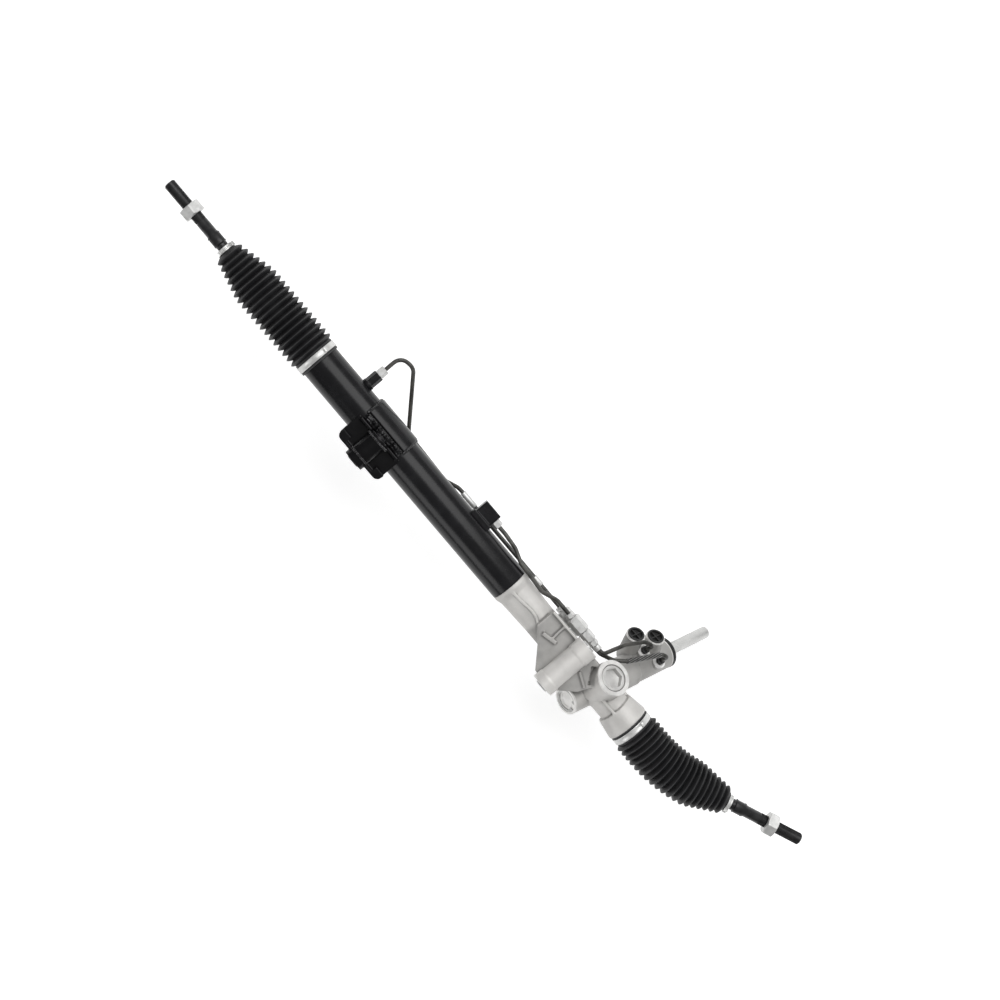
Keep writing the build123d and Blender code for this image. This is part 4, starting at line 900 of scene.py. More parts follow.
def bead_path(name: str, points: Sequence[Vector], radius: float, ripple: float, pitch: float) -> bpy.types.Object:
    """A weld bead: a tube whose thickness swells and shrinks along its way.

    Args:
        name: of the object.
        points: places along the bead, in millimetres, about evenly spaced.
        radius: of the bead.
        ripple: share by which the radius changes.
        pitch: length of one ripple.

    Returns:
        The bead as a mesh object.
    """
    curve = bpy.data.curves.new(name, "CURVE")
    curve.dimensions = "3D"
    curve.bevel_depth = radius * MM
    curve.bevel_resolution = 3
    curve.use_fill_caps = True
    spline = curve.splines.new("POLY")
    fine: list[Vector] = []
    for first, second in zip(points, points[1:]):
        steps = max(1, round((second - first).length / (pitch / 4)))
        fine += [first.lerp(second, step / steps) for step in range(steps)]
    fine.append(points[-1])
    spline.points.add(len(fine) - 1)
    chance = random.Random(len(fine))
    wander = Vector((0, 0, 0))
    for index, (knot, at) in enumerate(zip(spline.points, fine)):
        wander = wander * 0.8 + Vector([chance.uniform(-1, 1) for _ in range(3)]) * radius * ripple * 0.4
        knot.co = (*((at + wander) * MM), 1)
        knot.radius = 1 + ripple * (0.7 * math.sin(TURN * index / 4) + 0.6 * chance.uniform(-1, 1))
    spline.points[0].radius = spline.points[len(fine) - 1].radius = 0.5
    return as_mesh(name, curve)


def as_mesh(name: str, curve: bpy.types.Curve) -> bpy.types.Object:
    """Turns a curve into a mesh object.

    Args:
        name: of the object and its mesh.
        curve: which is removed.

    Returns:
        The object.
    """
    holder = placed(name + "_curve", curve)
    data = evaluated(holder)
    bpy.data.objects.remove(holder)
    bpy.data.curves.remove(curve)
    data.name = name
    return placed(name, data)


def joined(name: str, parts: Sequence[bpy.types.Object]) -> bpy.types.Object:
    """Joins several objects, which are removed.

    Args:
        name: of the new object.
        parts: the objects.

    Returns:
        The new object.
    """
    work = bmesh.new()
    for part in parts:
        work.from_mesh(part.data)
    data = bpy.data.meshes.new(name)
    work.to_mesh(data)
    work.free()
    for part in parts:
        bpy.data.objects.remove(part)
    return placed(name, data)


def softened(piece: bpy.types.Object, voxel: float, passes: int, shrink: float, keep: float = 1.0) -> bpy.types.Object:
    """Melts a solid's edges into the fillets of a casting.

    Args:
        piece: a closed solid, or several that overlap.
        voxel: edge of a voxel, in millimetres.
        passes: smoothing steps.
        shrink: how far the skin is then drawn inwards, in millimetres.
        keep: share of the faces that is kept.

    Returns:
        The piece.
    """
    modified(piece, "REMESH", mode="VOXEL", voxel_size=voxel * MM)
    work = bmesh.new()
    work.from_mesh(piece.data)
    for _ in range(passes):
        bmesh.ops.smooth_vert(work, verts=work.verts, factor=0.5, use_axis_x=True, use_axis_y=True, use_axis_z=True)
    work.normal_update()
    for vertex in work.verts:
        vertex.co -= vertex.normal * shrink * MM
    work.to_mesh(piece.data)
    work.free()
    if keep < 1.0:
        modified(piece, "DECIMATE", ratio=keep)
    return piece


@dataclass
class Group:
    """Pieces that are built together from the part's finishes."""

    finishes: Finishes

    def dress(self, piece: bpy.types.Object, body: str | None, slot: Slot, stands_for: Sequence[str] = (),
              sharp: float = 38.0, material: bpy.types.Material | None = None) -> None:
        """Gives a piece its finish, its shading and its body.

        Args:
            piece: the finished object.
            body: the CAD body that it rides on, or None for a piece that rides on none.
            slot: the record's slot of its finish.
            stands_for: CAD nodes that it replaces.
            sharp: edges over this angle, in degrees, stay sharp.
            material: its own finish, where it isn't the slot's.
        """
        piece.data.materials.clear()
        piece.data.materials.append(material or self.finishes.of[slot])
        piece.data.shade_smooth()
        piece.data.set_sharp_from_angle(angle=math.radians(sharp))
        if body is not None:
            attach(piece, body)
        if stands_for:
            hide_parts(*stands_for)
        log.info("%s: %d faces", piece.name, len(piece.data.polygons))


# The cast housing


@dataclass
class Casting(Group):
    """The aluminium housing of pinion and valve, with its machined faces."""

    voxel: float = 1.0
    smoothing: int = 2
    shrink: float = 0.05
    kept: float = 0.7
    land_depth: float = 2.0
    boss_low: float = -43.0
    boss_high: float = 34.0
    boss_face: Point = (16.8, 12.5)
    yoke_top: float = 43.0
    yoke_face: Point = (24.0, 18.0)
    foot_at: float = -40.5
    foot_face: Point = (19.5, 16.0)
    tower_at: float = 138.0
    tower_face: Point = (21.0, 16.5)
    mouth_face: Point = (13.0, 10.4)
    port_at: float = 24.9
    port_face: Point = (9.4, 5.6)
    port_light: Colour = (0.99, 0.985, 0.97)

    def build(self) -> None:
        """Builds the skin of the casting and its lands."""
        skin = Shape().copied("pinion_housing").object("housing_casting")
        piece = softened(skin, self.voxel, self.smoothing, self.shrink, self.kept)
        self.dress(piece, "housing", Slot.CAST, ["pinion_housing"], sharp=75)
        self.add_lands()

    def land(self, name: str, station: Station, face: Point, depth: float, chamfer: float = 0.6,
             light: Colour = (0.84, 0.83, 0.81)) -> None:
        """A machined ring on a boss of the casting.

        Args:
            name: of the piece.
            station: the face's middle, facing out.
            face: its outer and inner radius.
            depth: how far the ring reaches into the casting.
            chamfer: of its rims.
            light: its colour.
        """
        outer, inner = face
        ring = Shape().turned(station, [(inner, -depth), (outer, -depth), (outer, -chamfer), (outer - chamfer, 0),
                                        (inner + chamfer * 0.6, 0), (inner, -chamfer * 0.6)], segments=96)
        dark = tuple(c * 0.84 for c in light)
        self.dress(ring.object(name), "housing", Slot.CAST, material=TurnedMetal(name, station, light, dark).make())

    def add_lands(self) -> None:
        """Adds the machined faces of every boss."""
        depth = self.land_depth
        self.land("yoke_boss_face", yoke_station(self.yoke_top), self.yoke_face, depth)
        self.land("bolt_boss_face_outer", Station(Vector((0, self.boss_low, 0)), -Y, X), self.boss_face, depth)
        self.land("bolt_boss_face_inner", Station(Vector((0, self.boss_high, 0)), Y, X), self.boss_face, depth)
        foot = Station(pinion_station(self.foot_at).origin, -PINION_DIR, YOKE_DIR)
        self.land("foot_rim", foot, self.foot_face, depth)
        self.land("tower_rim", pinion_station(self.tower_at), self.tower_face, depth)
        for number, place in enumerate(HOSE_MOUTHS, 1):
            mouth = Station(tower_point(*place), HOSE_DIR, PINION_DIR)
            self.land(f"hose_port_mouth_{number}", mouth, self.mouth_face, depth, 0.9)
        for number, (along, side) in enumerate(LINE_PORTS, 1):
            port = Station(tower_point(along, side, self.port_at), YOKE_DIR, PINION_DIR)
            self.land(f"line_port_face_{number}", port, self.port_face, depth + 0.9, 1.5, self.port_light)


# The cylinder and its bracket


@dataclass
class Cylinder(Group):
    """The black steel tube with its welded bracket and bushes."""

    left: float = -510.0
    right: float = -121.0
    radius: float = 26.4
    bore: float = 22.0
    saddle_length: float = 67.0
    seam_y: float = 9.5
    seam_z: float = -12.9
    weld_arc: Point = (-70.0, 82.0)  # degrees round the tube
    weld_lift: float = 1.4
    barrel_weld: float = 15.6
    barrel_welds: tuple[float, float] = (-1.2, -30.0)
    sleeve_bore: float = 6.5
    sleeve_radius: float = 9.0
    rubber_radius: float = 12.48
    # name, x, ends of the rubber, ends of the sleeve, slot of the sleeve
    bushes: tuple[tuple[str, float, Point, Point, Slot], ...] = (
        ("pinion_side", 0.0, (-43.0, 34.0), (-45.0, 36.0), Slot.ZINC),
        ("outboard", BRACKET_X, (-41.0, 4.0), (-42.0, 6.0), Slot.PAINT))

    def build(self) -> None:
        """Builds every piece of the cylinder."""
        tube = Shape().tube(rack_station(self.left), self.bore, self.radius, self.right - self.left, 0.8, 128)
        self.dress(tube.object("cylinder"), "housing", Slot.PAINT, ["cylinder_tube"])
        saddle = softened(Shape().copied("bracket_saddle").object("saddle"), 0.9, 2, 0.0)
        self.dress(saddle, "housing", Slot.PAINT, ["bracket_saddle"], sharp=60)
        bracket = softened(Shape().copied("mount_bracket").object("bracket"), 0.8, 3, 0.02)
        # Painted shade: the bracket's paint is darker than the tube's, for its deep pocket.
        shaded_bracket_paint = GlossPaint("bracket_paint_painted_shade", (0.002, 0.002, 0.0026), 0.2, gloss=0.2).make()
        self.dress(bracket, "housing", Slot.PAINT, ["mount_bracket"], sharp=60, material=shaded_bracket_paint)
        self.add_welds()
        self.add_bushes()

    def add_welds(self) -> None:
        """Lays the weld beads round the saddle."""
        beads = []
        low, high = (math.radians(angle) for angle in self.weld_arc)
        reach = self.radius + self.weld_lift
        for end in (-1, 1):
            x = BRACKET_X + end * (self.saddle_length / 2 + 0.6)
            ring = [Vector((x, RACK_Y + reach * math.cos(angle), RACK_Z + reach * math.sin(angle)))
                    for angle in (low + (high - low) * step / 40 for step in range(41))]
            beads.append(bead_path("bead_end", ring, 2.0, 0.2, 2.8))
        half = self.saddle_length / 2
        for y, z, radius in ((RACK_Y + reach * math.cos(low), RACK_Z + reach * math.sin(low), 1.8),
                             (self.seam_y, self.seam_z, 3.6), (self.seam_y - 3.2, self.seam_z + 0.8, 2.5)):
            run = [Vector((BRACKET_X + share * half, y, z)) for share in (-0.99, 0, 0.99)]
            beads.append(bead_path("bead_run", run, radius, 0.32, 4.2))
        for wall_y in self.barrel_welds:
            ring = [Vector((BRACKET_X + self.barrel_weld * math.cos(angle), wall_y, self.barrel_weld * math.sin(angle)))
                    for angle in (math.pi * (step / 24 * 1.1 - 0.05) for step in range(25))]
            beads.append(bead_path("bead_barrel", ring, 1.7, 0.26, 3.0))
        finish = GlossPaint("welded_paint", (0.006, 0.006, 0.007), 0.16, 0.9, 0.6).make()
        self.dress(joined("saddle_welds", beads), "housing", Slot.PAINT, sharp=60, material=finish)

    def add_bushes(self) -> None:
        """Builds the rubber bushes and their sleeves."""
        for side, x, (low, high), (sleeve_low, sleeve_high), slot in self.bushes:
            inner, outer, length = self.sleeve_radius + 0.02, self.rubber_radius, high - low
            rubber = Shape().turned(bolt_station(x, low), [(inner, 0.6), (outer, 0), (outer, length),
                                                           (inner, length - 0.6)], round_off=0.3)
            self.dress(rubber.object(f"{side}_rubber"), "housing", Slot.BUSH, [f"{side}_bush_rubber"])
            sleeve = Shape().tube(bolt_station(x, sleeve_low), self.sleeve_bore, self.sleeve_radius,
                                  sleeve_high - sleeve_low, 0.4)
            self.dress(sleeve.object(f"{side}_sleeve"), "housing", slot, [f"{side}_bush_sleeve"])


# Bellows


@dataclass
class Bellows(Group):
    """A rubber bellows in three lengths."""

    side: str
    start_x: float
    cuff_from: float
    cuff_seat: float
    out: Vector
    ball: Vector
    rod_out: Vector
    splits: Point
    folds: int = 19
    crest: float = 32.5
    small_crest: float = 19.0
    depth: float = 6.6
    wall: float = 1.3
    bend_reach: float = 40.0
    small_cuff_at: float = 87.0
    small_cuff_length: float = 8.0
    steps_per_fold: int = 12
    sharpness: float = 0.42
    shallower: float = 1.5
    taper_from: float = 0.68
    rod_groove: float = 7.17
    small_cuff: float = 9.17
    cuff_wall: float = 2.2
    band_faces: Point = (2.24, 3.24)  # over the cuff's seat
    band_width: float = 8.0
    band_ear: float = 30.0  # degrees from the top
    clip_width: float = 6.2
    clip_ears: Point = (50.0, 74.0)  # degrees from the top

    def centre_line(self) -> tuple[float, Callable[[float], tuple[Vector, Vector]]]:
        """Centre line of the folds: straight, one bend about the ball joint, straight.

        Returns:
            Its length, and a function from the distance along it to the place and direction there.
        """
        start = Vector((self.start_x, RACK_Y, RACK_Z))
        angle = self.out.angle(self.rod_out)
        first = (self.ball - start).dot(self.out)
        if angle < 1e-6:
            return first + self.small_cuff_at, lambda s: (start + self.out * s, self.out)
        radius = self.bend_reach / math.tan(angle / 2)
        run = first - self.bend_reach
        arc = radius * angle
        side = (self.rod_out - self.out * self.rod_out.dot(self.out)).normalized()
        total = run + arc + self.small_cuff_at - self.bend_reach

        def at(s: float) -> tuple[Vector, Vector]:
            """Follows the line.

            Args:
                s: distance from its start.

            Returns:
                Place and direction there.
            """
            if s <= run:
                return start + self.out * s, self.out
            if s <= run + arc:
                turn = (s - run) / radius
                place = start + self.out * (run + radius * math.sin(turn)) + side * radius * (1 - math.cos(turn))
                return place, self.out * math.cos(turn) + side * math.sin(turn)
            return self.ball + self.rod_out * (self.bend_reach + s - run - arc), self.rod_out

        return total, at

    def radius_at(self, share: float) -> float:
        """Outer radius of the folds.

        Args:
            share: place along the folds, from 0 to 1.

        Returns:
            The radius there, in millimetres.
        """
        taper = max(0.0, (share - self.taper_from) / (1 - self.taper_from))
        crest = self.crest + (self.small_crest - self.crest) * taper
        phase = share * self.folds % 1.0
        wave = self.sharpness * (1 - abs(2 * phase - 1)) + (1 - self.sharpness) * math.sin(math.pi * phase)
        return crest - (self.depth - self.shallower * taper) * (1 - wave)

    def build(self) -> None:
        """Builds the three lengths, the clamp and the clip."""
        total, line = self.centre_line()
        steps = self.folds * self.steps_per_fold
        marks = [0] + [round(share * self.folds) * self.steps_per_fold for share in self.splits] + [steps]
        bodies = (("housing", "rack"), ("rack", f"{self.side}_seat"), (f"{self.side}_seat", f"{self.side}_tie_rod"))
        for number, (low, high, pair) in enumerate(zip(marks, marks[1:], bodies), 1):
            outer = [(self.radius_at(step / steps), total * step / steps) for step in range(low, high + 1)]
            inner = [(radius - self.wall, s) for radius, s in reversed(outer)]
            if number == 1:
                outer, inner = self.with_big_cuff(outer, inner)
            if number == 3:
                outer, inner = self.with_small_cuff(outer, inner, total)
            shape = Shape().turned(Station(Vector((0, 0, 0)), Z, X), outer + inner, segments=96)

            def onto_line(point: Vector) -> Vector:
                """Carries a point of the straight bellows onto its centre line.

                Args:
                    point: its z is the distance along the line.

                Returns:
                    The point's place in the part.
                """
                along = max(0.0, min(total, point.z))
                place, direction = line(along)
                place = place + direction * (point.z - along)
                across = Y if abs(direction.y) < 0.99 else X
                across = (across - direction * across.dot(direction)).normalized()
                up = direction.cross(across)
                return place + across * point.x + up * point.y

            piece = shape.reshaped(onto_line).object(f"{self.side}_bellows_{number}")
            self.dress(piece, None, Slot.BELLOWS, [f"{self.side}_bellows"], sharp=50)
            start, _ = line(total * low / steps)
            end, _ = line(total * high / steps)
            start * MM
            end * MM
            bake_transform(piece)
        self.add_clamps()

    def with_big_cuff(self, outer: list[Point], inner: list[Point]) -> tuple[list[Point], list[Point]]:
        """Adds the cuff that sits on the housing to the first length's section.

        Args:
            outer: corners of the outer skin, outwards.
            inner: corners of the inner skin, back again.

        Returns:
            Both with the cuff.
        """
        length = abs(self.start_x - self.cuff_from)
        face = self.cuff_seat + self.cuff_wall
        cuff = [(face - 0.4, -length), (face, -length + 0.5), (face, -length + 2.6), (face - 0.5, -length + 3.2),
                (face - 0.5, -3.2), (face, -2.6), (face, -0.6)]
        seat = [(self.cuff_seat + 0.02, -1.7), (self.cuff_seat + 0.02, -length + 0.4),
                (self.cuff_seat + 0.4, -length)]
        return cuff + outer[1:], inner[:-1] + [(inner[-1][0], -1.7)] + seat

    def with_small_cuff(self, outer: list[Point], inner: list[Point], total: float) -> tuple[list[Point], list[Point]]:
        """Adds the cuff that sits in the tie rod's groove to the last length's section.

        Args:
            outer: corners of the outer skin, outwards.
            inner: corners of the inner skin, back again.
            total: length of the folds.

        Returns:
            Both with the cuff.
        """
        face, seat, length = self.small_cuff, self.rod_groove, self.small_cuff_length
        cuff = [(face + 1.0, total + 0.3), (face, total + 1.2), (face, total + length - 0.5),
                (face - 0.5, total + length), (seat, total + length), (seat, total + 1.7),
                (inner[0][0], total + 1.7)]
        return outer, cuff + inner

    def add_clamps(self) -> None:
        """Builds the big band clamp and the small spring clip, each with its ears."""
        width = self.band_width
        band = rack_station((self.start_x + self.cuff_from) / 2, self.out).moved(-width / 2)
        inner, outer = (self.cuff_seat + face for face in self.band_faces)
        clamp = Shape().turned(band, [(inner, 0), (outer - 0.2, 0), (outer, 0.8), (outer - 0.35, 1.5),
                                      (outer - 0.35, width - 1.5), (outer, width - 0.8), (outer - 0.2, width),
                                      (inner, width)], segments=96)
        angle = math.radians(-self.band_ear if self.out.x > 0 else self.band_ear)
        out = (band.matrix().to_3x3() @ Vector((math.cos(angle), math.sin(angle), 0))).normalized()
        across = out.cross(self.out)
        root = band.moved(width / 2).origin + out * (outer - 0.3)
        for shift in (-1.7, 1.7):
            clamp.box(Station(root + across * shift, out, self.out), (6.4, 1.3, 3.4), 0.35)
        clamp.box(Station(root + out * 2.5, out, self.out), (6.4, 4.4, 1.1), 0.4)
        self.dress(clamp.object(f"{self.side}_band_clamp"), "housing", Slot.ZINC, [f"{self.side}_bellows_clamp"])
        ring = Station(self.ball + self.rod_out * (self.small_cuff_at + 1.2), self.rod_out, Z)
        rim = self.small_cuff + 0.02
        high, low = rim + 1.7, rim + 0.9
        width = self.clip_width
        clip = Shape().turned(ring, [(rim, 0), (high, 0), (high, 2.3), (low, 2.6), (low, width - 2.4),
                                     (high, width - 2.1), (high, width), (rim, width)], 0.2, segments=64)
        for angle in (math.radians(ear) for ear in self.clip_ears):
            out = (ring.matrix().to_3x3() @ Vector((math.cos(angle), math.sin(angle), 0))).normalized()
            root = ring.moved(width / 2).origin + out * (rim + 0.6)
            clip.box(Station(root, out, self.rod_out), (5.6, 1.5, 5.2), 0.3)
        self.dress(clip.object(f"{self.side}_clip"), f"{self.side}_tie_rod", Slot.ZINC, [f"{self.side}_rod_clip"])


# Tie rods


@dataclass
class TieRod(Group):
    """A tie rod with its ball, its flats, its outer thread and its jam nut."""

    side: str
    ball: Vector
    out: Vector
    length: float = 200.0
    ball_radius: float = 12.5
    neck_radius: float = 7.0
    radius: float = 7.75
    groove_radius: float = 7.15
    nut_from: float = 148.2
    nut_width: float = 14.6
    nut_across: float = 27.6
    thread_radius: float = 8.1
    thread_pitch: float = 1.5
    thread_from: float = 138.0
    groove_run: Point = (86.0, 96.0)
    flats_run: Point = (101.0, 114.0)
    flats_radius: float = 9.5
    flats_half: float = 8.5

    def build(self) -> None:
        """Builds the rod and its nut."""
        base = Station(self.ball, self.out, Z)
        core = self.thread_radius - 0.95
        groove = self.groove_radius
        top = math.pi - math.asin(self.neck_radius / self.ball_radius)
        ball = [(self.ball_radius * math.sin(top * step / 20), -self.ball_radius * math.cos(top * step / 20))
                for step in range(21)]
        low, high = self.groove_run
        first, last = self.flats_run
        profile = [*ball, (self.neck_radius, 21.5), (self.radius, 22.6), (self.radius, low), (groove, low + 0.4),
                   (groove, high - 0.4), (self.radius, high), (self.radius, first - 1.5), (self.flats_radius, first),
                   (self.flats_radius, last), (self.radius, last + 2.5), (self.radius, self.thread_from - 1.5),
                   (core, self.thread_from), (core, self.length - 0.9), (core - 0.9, self.length), (0, self.length)]
        plain = Shape().turned(base, profile, segments=64).object(f"{self.side}_rod")
        flats = Shape()
        for sign in (-1, 1):
            flats.box(Station(base.point(0, sign * (self.flats_half + 3), first + 0.5), self.out, Z), (30, 6, 12), 0.2)
        combine(plain, flats.object("rod_flats"), "DIFFERENCE")
        ridge = Shape().thread(base.moved(self.thread_from), self.thread_radius, self.thread_pitch,
                               self.length - self.thread_from - 1.6)
        rod = joined(f"{self.side}_rod", [plain, ridge.object("ridge")])
        self.dress(rod, f"{self.side}_tie_rod", Slot.BLACK_STEEL, [f"{self.side}_tie_rod"], sharp=40)
        nut = hexagon(f"{self.side}_nut", base.moved(self.nut_from), self.nut_across, self.nut_width,
                      self.thread_radius + 0.02, 1.3)
        self.dress(nut, f"{self.side}_tie_rod", Slot.ZINC, [f"{self.side}_jam_nut"], sharp=30)


# Lines


@dataclass
class Lines(Group):
    """The hydraulic lines with their nuts, couplers, sleeves and ports."""

    radius: float = 2.8
    line_y: float = 38.5
    line_z: float = -57.0
    front_y: float = 42.0
    front_z: float = -37.0
    nut_across: float = 11.0
    valve_nut_across: float = 9.5
    fit: float = 0.02
    seam: float = 0.9
    # place along the coupler, width across flats, length with the seam, and chamfer of each hexagon
    coupler: tuple[tuple[float, float, float, float], ...] = (
        (0.0, 11.0, 7.0, 0.8), (7.0, 17.0, 24.0, 1.8), (31.0, 14.0, 16.0, 1.5), (47.0, 11.0, 8.0, 0.8))
    sleeve_radius: float = 4.0
    sleeves: tuple[Point, Point] = ((-250.0, 24.0), (-106.0, 14.0))  # x and length

    def routes(self) -> dict[str, tuple[list[Vector], tuple[float, ...]]]:
        """The lines' courses, the same as in the part's source.

        Returns:
            For each CAD node, the corners and the bend radii at the inner ones.
        """
        y, z = self.line_y, self.line_z
        upper, lower = LINE_PORTS
        outboard, inboard = TUBE_PORTS
        return {
            "outboard_line": ([Vector(p) for p in (
                outboard, (-436, 91, -42), (-414, 93.5, -46), (-353, 33.5, -67.5), (-276, 31, -67.5),
                (-258, y, z), (-54, y, z))], (14, 14, 20, 14, 14)),
            "inboard_line": ([Vector(p) for p in (
                inboard, (-174, 46, -37), (-153, 44, -33), (-134, 37, -30), (-114, 35.8, -30),
                (-88, 34, -31), (-66, self.front_y, self.front_z), (-42, self.front_y, self.front_z))],
                (20, 18, 14, 20, 14, 14)),
            "upper_valve_line": ([Vector((18, self.front_y, self.front_z)), Vector((27, self.front_y, self.front_z)),
                                  tower_point(52, -31.7, 46), tower_point(82, -24, 47), tower_point(*upper, 47),
                                  tower_point(*upper, LINE_SEAT)], (7, 16, 7, 7)),
            "lower_valve_line": ([Vector((6, y, z)), Vector((16, y, z)), Vector((27, 39.5, -51)),
                                  tower_point(27, -20, 41), tower_point(42, -11.5, 46), tower_point(76, -4, 47),
                                  tower_point(100, 1, 46), tower_point(*lower, 45), tower_point(*lower, LINE_SEAT)],
                                 (9, 9, 12, 16, 30, 7, 7)),
        }

    def build(self) -> None:
        """Builds every line and fitting."""
        for name, (corners, bends) in self.routes().items():
            piece = rod_path(name + "_tube", corners, bends, self.radius)
            self.dress(piece, "housing", Slot.LINE, [name], sharp=50)
        self.add_couplers()
        self.add_ports()
        self.add_guard()

    def add_couplers(self) -> None:
        """Builds the two in-line couplers and the plated sleeves."""
        bore = self.radius + self.fit
        places = {"front": (-43.0, self.front_y, self.front_z), "rear": (-55.0, self.line_y, self.line_z)}
        for row, place in places.items():
            base = Station(Vector(place), X, Vector((0, math.sin(TURN / 12), math.cos(TURN / 12))))
            parts = [hexagon("part", base.moved(at), across, length - self.seam, bore, chamfer)
                     for at, across, length, chamfer in self.coupler]
            parts += [Shape().tube(base.moved(1), bore, 4.2, 53).object("core"),
                      Shape().tube(base.moved(55), bore, 4.6, 7, 0.5).object("collar")]
            self.dress(joined(f"{row}_line_coupler", parts), "housing", Slot.ZINC, [f"{row}_coupler"], sharp=30)
        plated = Shape()
        for x, length in self.sleeves:
            plated.tube(Station(Vector((x, self.line_y, self.line_z)), X, Z), bore, self.sleeve_radius, length, 0.35)
        self.dress(plated.object("plated_sleeves"), "housing", Slot.ZINC, ["line_sleeves"])

    def add_ports(self) -> None:
        """Builds the port fitting, the port block and the nuts on the lines' ends."""
        for name, node, voxel in (("outboard_port", "outboard_port_fitting", 0.45),
                                  ("inboard_port", "inboard_port_block", 0.6)):
            port = softened(Shape().copied(node).object(name), voxel, 2, 0.0)
            self.dress(port, "housing", Slot.PAINT, [node], sharp=50)
        bore = self.radius + self.fit
        outboard, inboard = (Vector(place) for place in TUBE_PORTS)
        nuts = [hexagon("nut_a", Station(outboard, Y, -X), self.nut_across, 11, bore),
                hexagon("nut_b", Station(inboard, X, Y), self.nut_across, 9, bore)]
        self.dress(joined("line_nuts", nuts), "housing", Slot.ZINC, ["line_end_nuts"], sharp=30)
        dark = [hexagon("nut", Station(tower_point(*place, LINE_SEAT), YOKE_DIR, PINION_DIR), self.valve_nut_across,
                        6, bore) for place in LINE_PORTS]
        self.dress(joined("valve_line_nuts", dark), "housing", Slot.BLACK_STEEL, ["line_end_nuts"], sharp=30)

    def add_guard(self) -> None:
        """Winds the spiral guard round the lower valve line."""
        guard = Shape()
        corners = [tower_point(42, -11.5, 46), tower_point(76, -4, 47), tower_point(97, 0.4, 46.1)]
        for first, second in zip(corners, corners[1:]):
            way = second - first
            guard.tube(Station(first, way, SIDE_DIR), self.radius + 0.04, self.radius + 0.75, way.length, 0.25)
        strands = Station(corners[0], SIDE_DIR + PINION_DIR * 0.06, YOKE_DIR)
        self.dress(guard.object("line_guard"), "housing", Slot.PLASTIC,
                   material=WoundGuard("wound_guard", strands).make())


# Valve, yoke and foot


@dataclass
class ValveEnd(Group):
    """What closes the housing: dust cover, input shaft, port plugs, yoke plug and foot cap.

    Each profile gives radius and height above the place where the piece stands.
    """

    shaft: Profile = ((0, 200.2), (3.06, 200.2), (3.06, 190), (3.56, 188), (3.56, 46), (7.0, 46), (7.0, 68.4),
                      (8.6, 68.5), (8.6, 147.5), (8.25, 148), (8.25, 219), (7.9, 220.6), (6.9, 221.7), (5.3, 222),
                      (0, 222))
    cover_at: float = 138.02
    cover: Profile = ((14.0, -3), (16.4, -3), (16.4, 0), (21.4, 0), (21.4, 4.2), (20.9, 5.0), (19.6, 5.5),
                      (15.2, 5.5), (13.2, 6.1), (12.6, 7.4), (9.6, 7.4), (8.66, 6.6), (8.66, 2.2), (12.2, 2.0),
                      (12.4, 0.2), (14.0, 0))
    plug: Profile = ((0, -8.4), (10.1, -8.4), (10.1, 0.1), (11.4, 0.1), (11.4, 1.5), (8.8, 1.5), (8.8, -2.4),
                     (0, -2.4))
    plug_cross: tuple[Point3, Point3] = ((17.8, 1.6, 3.6), (1.6, 17.8, 3.6))
    yoke_at: float = 32.0
    yoke_plug: Profile = ((0, 2.0), (9.2, 2.0), (9.2, 0), (17.2, 0), (17.2, 9.8), (16.7, 10.4), (0, 10.4))
    recess_across: float = 24.0
    recess_floor: float = 3.4
    cap_at: float = -38.5
    cap: Profile = ((0, -4.18), (15.98, -4.18), (15.98, 0), (10.2, 0), (9.0, -1.1), (0, -1.1))

    def build(self) -> None:
        """Builds every piece of the valve's end."""
        self.add_shaft()
        self.add_plugs()
        self.add_yoke_plug()
        self.add_foot()

    def add_shaft(self) -> None:
        """Builds the input shaft's visible length and its dust cover."""
        station = pinion_station(0)
        shaft = Shape().turned(station, self.shaft, segments=64)
        ground = GroundSteel("input_shaft_steel", station, (0.58, 0.58, 0.57), (0.51, 0.51, 0.50), 0.30).make()
        self.dress(shaft.object("steering_shaft"), "input_shaft", Slot.GROUND, ["input_shaft"], material=ground)
        cover = Shape().turned(pinion_station(self.cover_at), self.cover, round_off=0.25, segments=96)
        self.dress(cover.object("valve_dust_cover"), "housing", Slot.SEAL, ["dust_cover"])

    def add_plugs(self) -> None:
        """Builds the shipping plugs in the hose ports."""
        plugs = Shape()
        for place in HOSE_MOUTHS:
            mouth = Station(tower_point(*place), HOSE_DIR, PINION_DIR)
            plugs.turned(mouth, self.plug, 0.35)
            for bar in self.plug_cross:
                plugs.box(mouth.moved(-3), bar, 0.3)
        self.dress(plugs.object("shipping_plugs"), "housing", Slot.PLASTIC, ["hose_port_plugs"])

    def add_yoke_plug(self) -> None:
        """Builds the threaded plug over the yoke with its hexagon recess."""
        base = yoke_station(self.yoke_at)
        body = Shape().turned(base, self.yoke_plug, segments=96).object("yoke_cover")
        outline = hex_outline(self.recess_across / 2 * CORNER_OF_HEX)
        combine(body, Shape().prism(base.moved(self.recess_floor), outline, 9).object("recess"), "DIFFERENCE")
        modified(body, "BEVEL", width=0.35 * MM, segments=2, limit_method="ANGLE")
        self.dress(body, "housing", Slot.YOKE, ["yoke_plug"], sharp=35)

    def add_foot(self) -> None:
        """Builds the cap of the pinion's foot."""
        base = Station(pinion_station(self.cap_at).origin, -PINION_DIR, YOKE_DIR)
        cap = Shape().turned(base, self.cap, round_off=0.3, segments=96)
        self.dress(cap.object("foot_cap"), "housing", Slot.YOKE, ["pinion_end_cap"],
                   material=TurnedMetal("foot_cap", base).make())


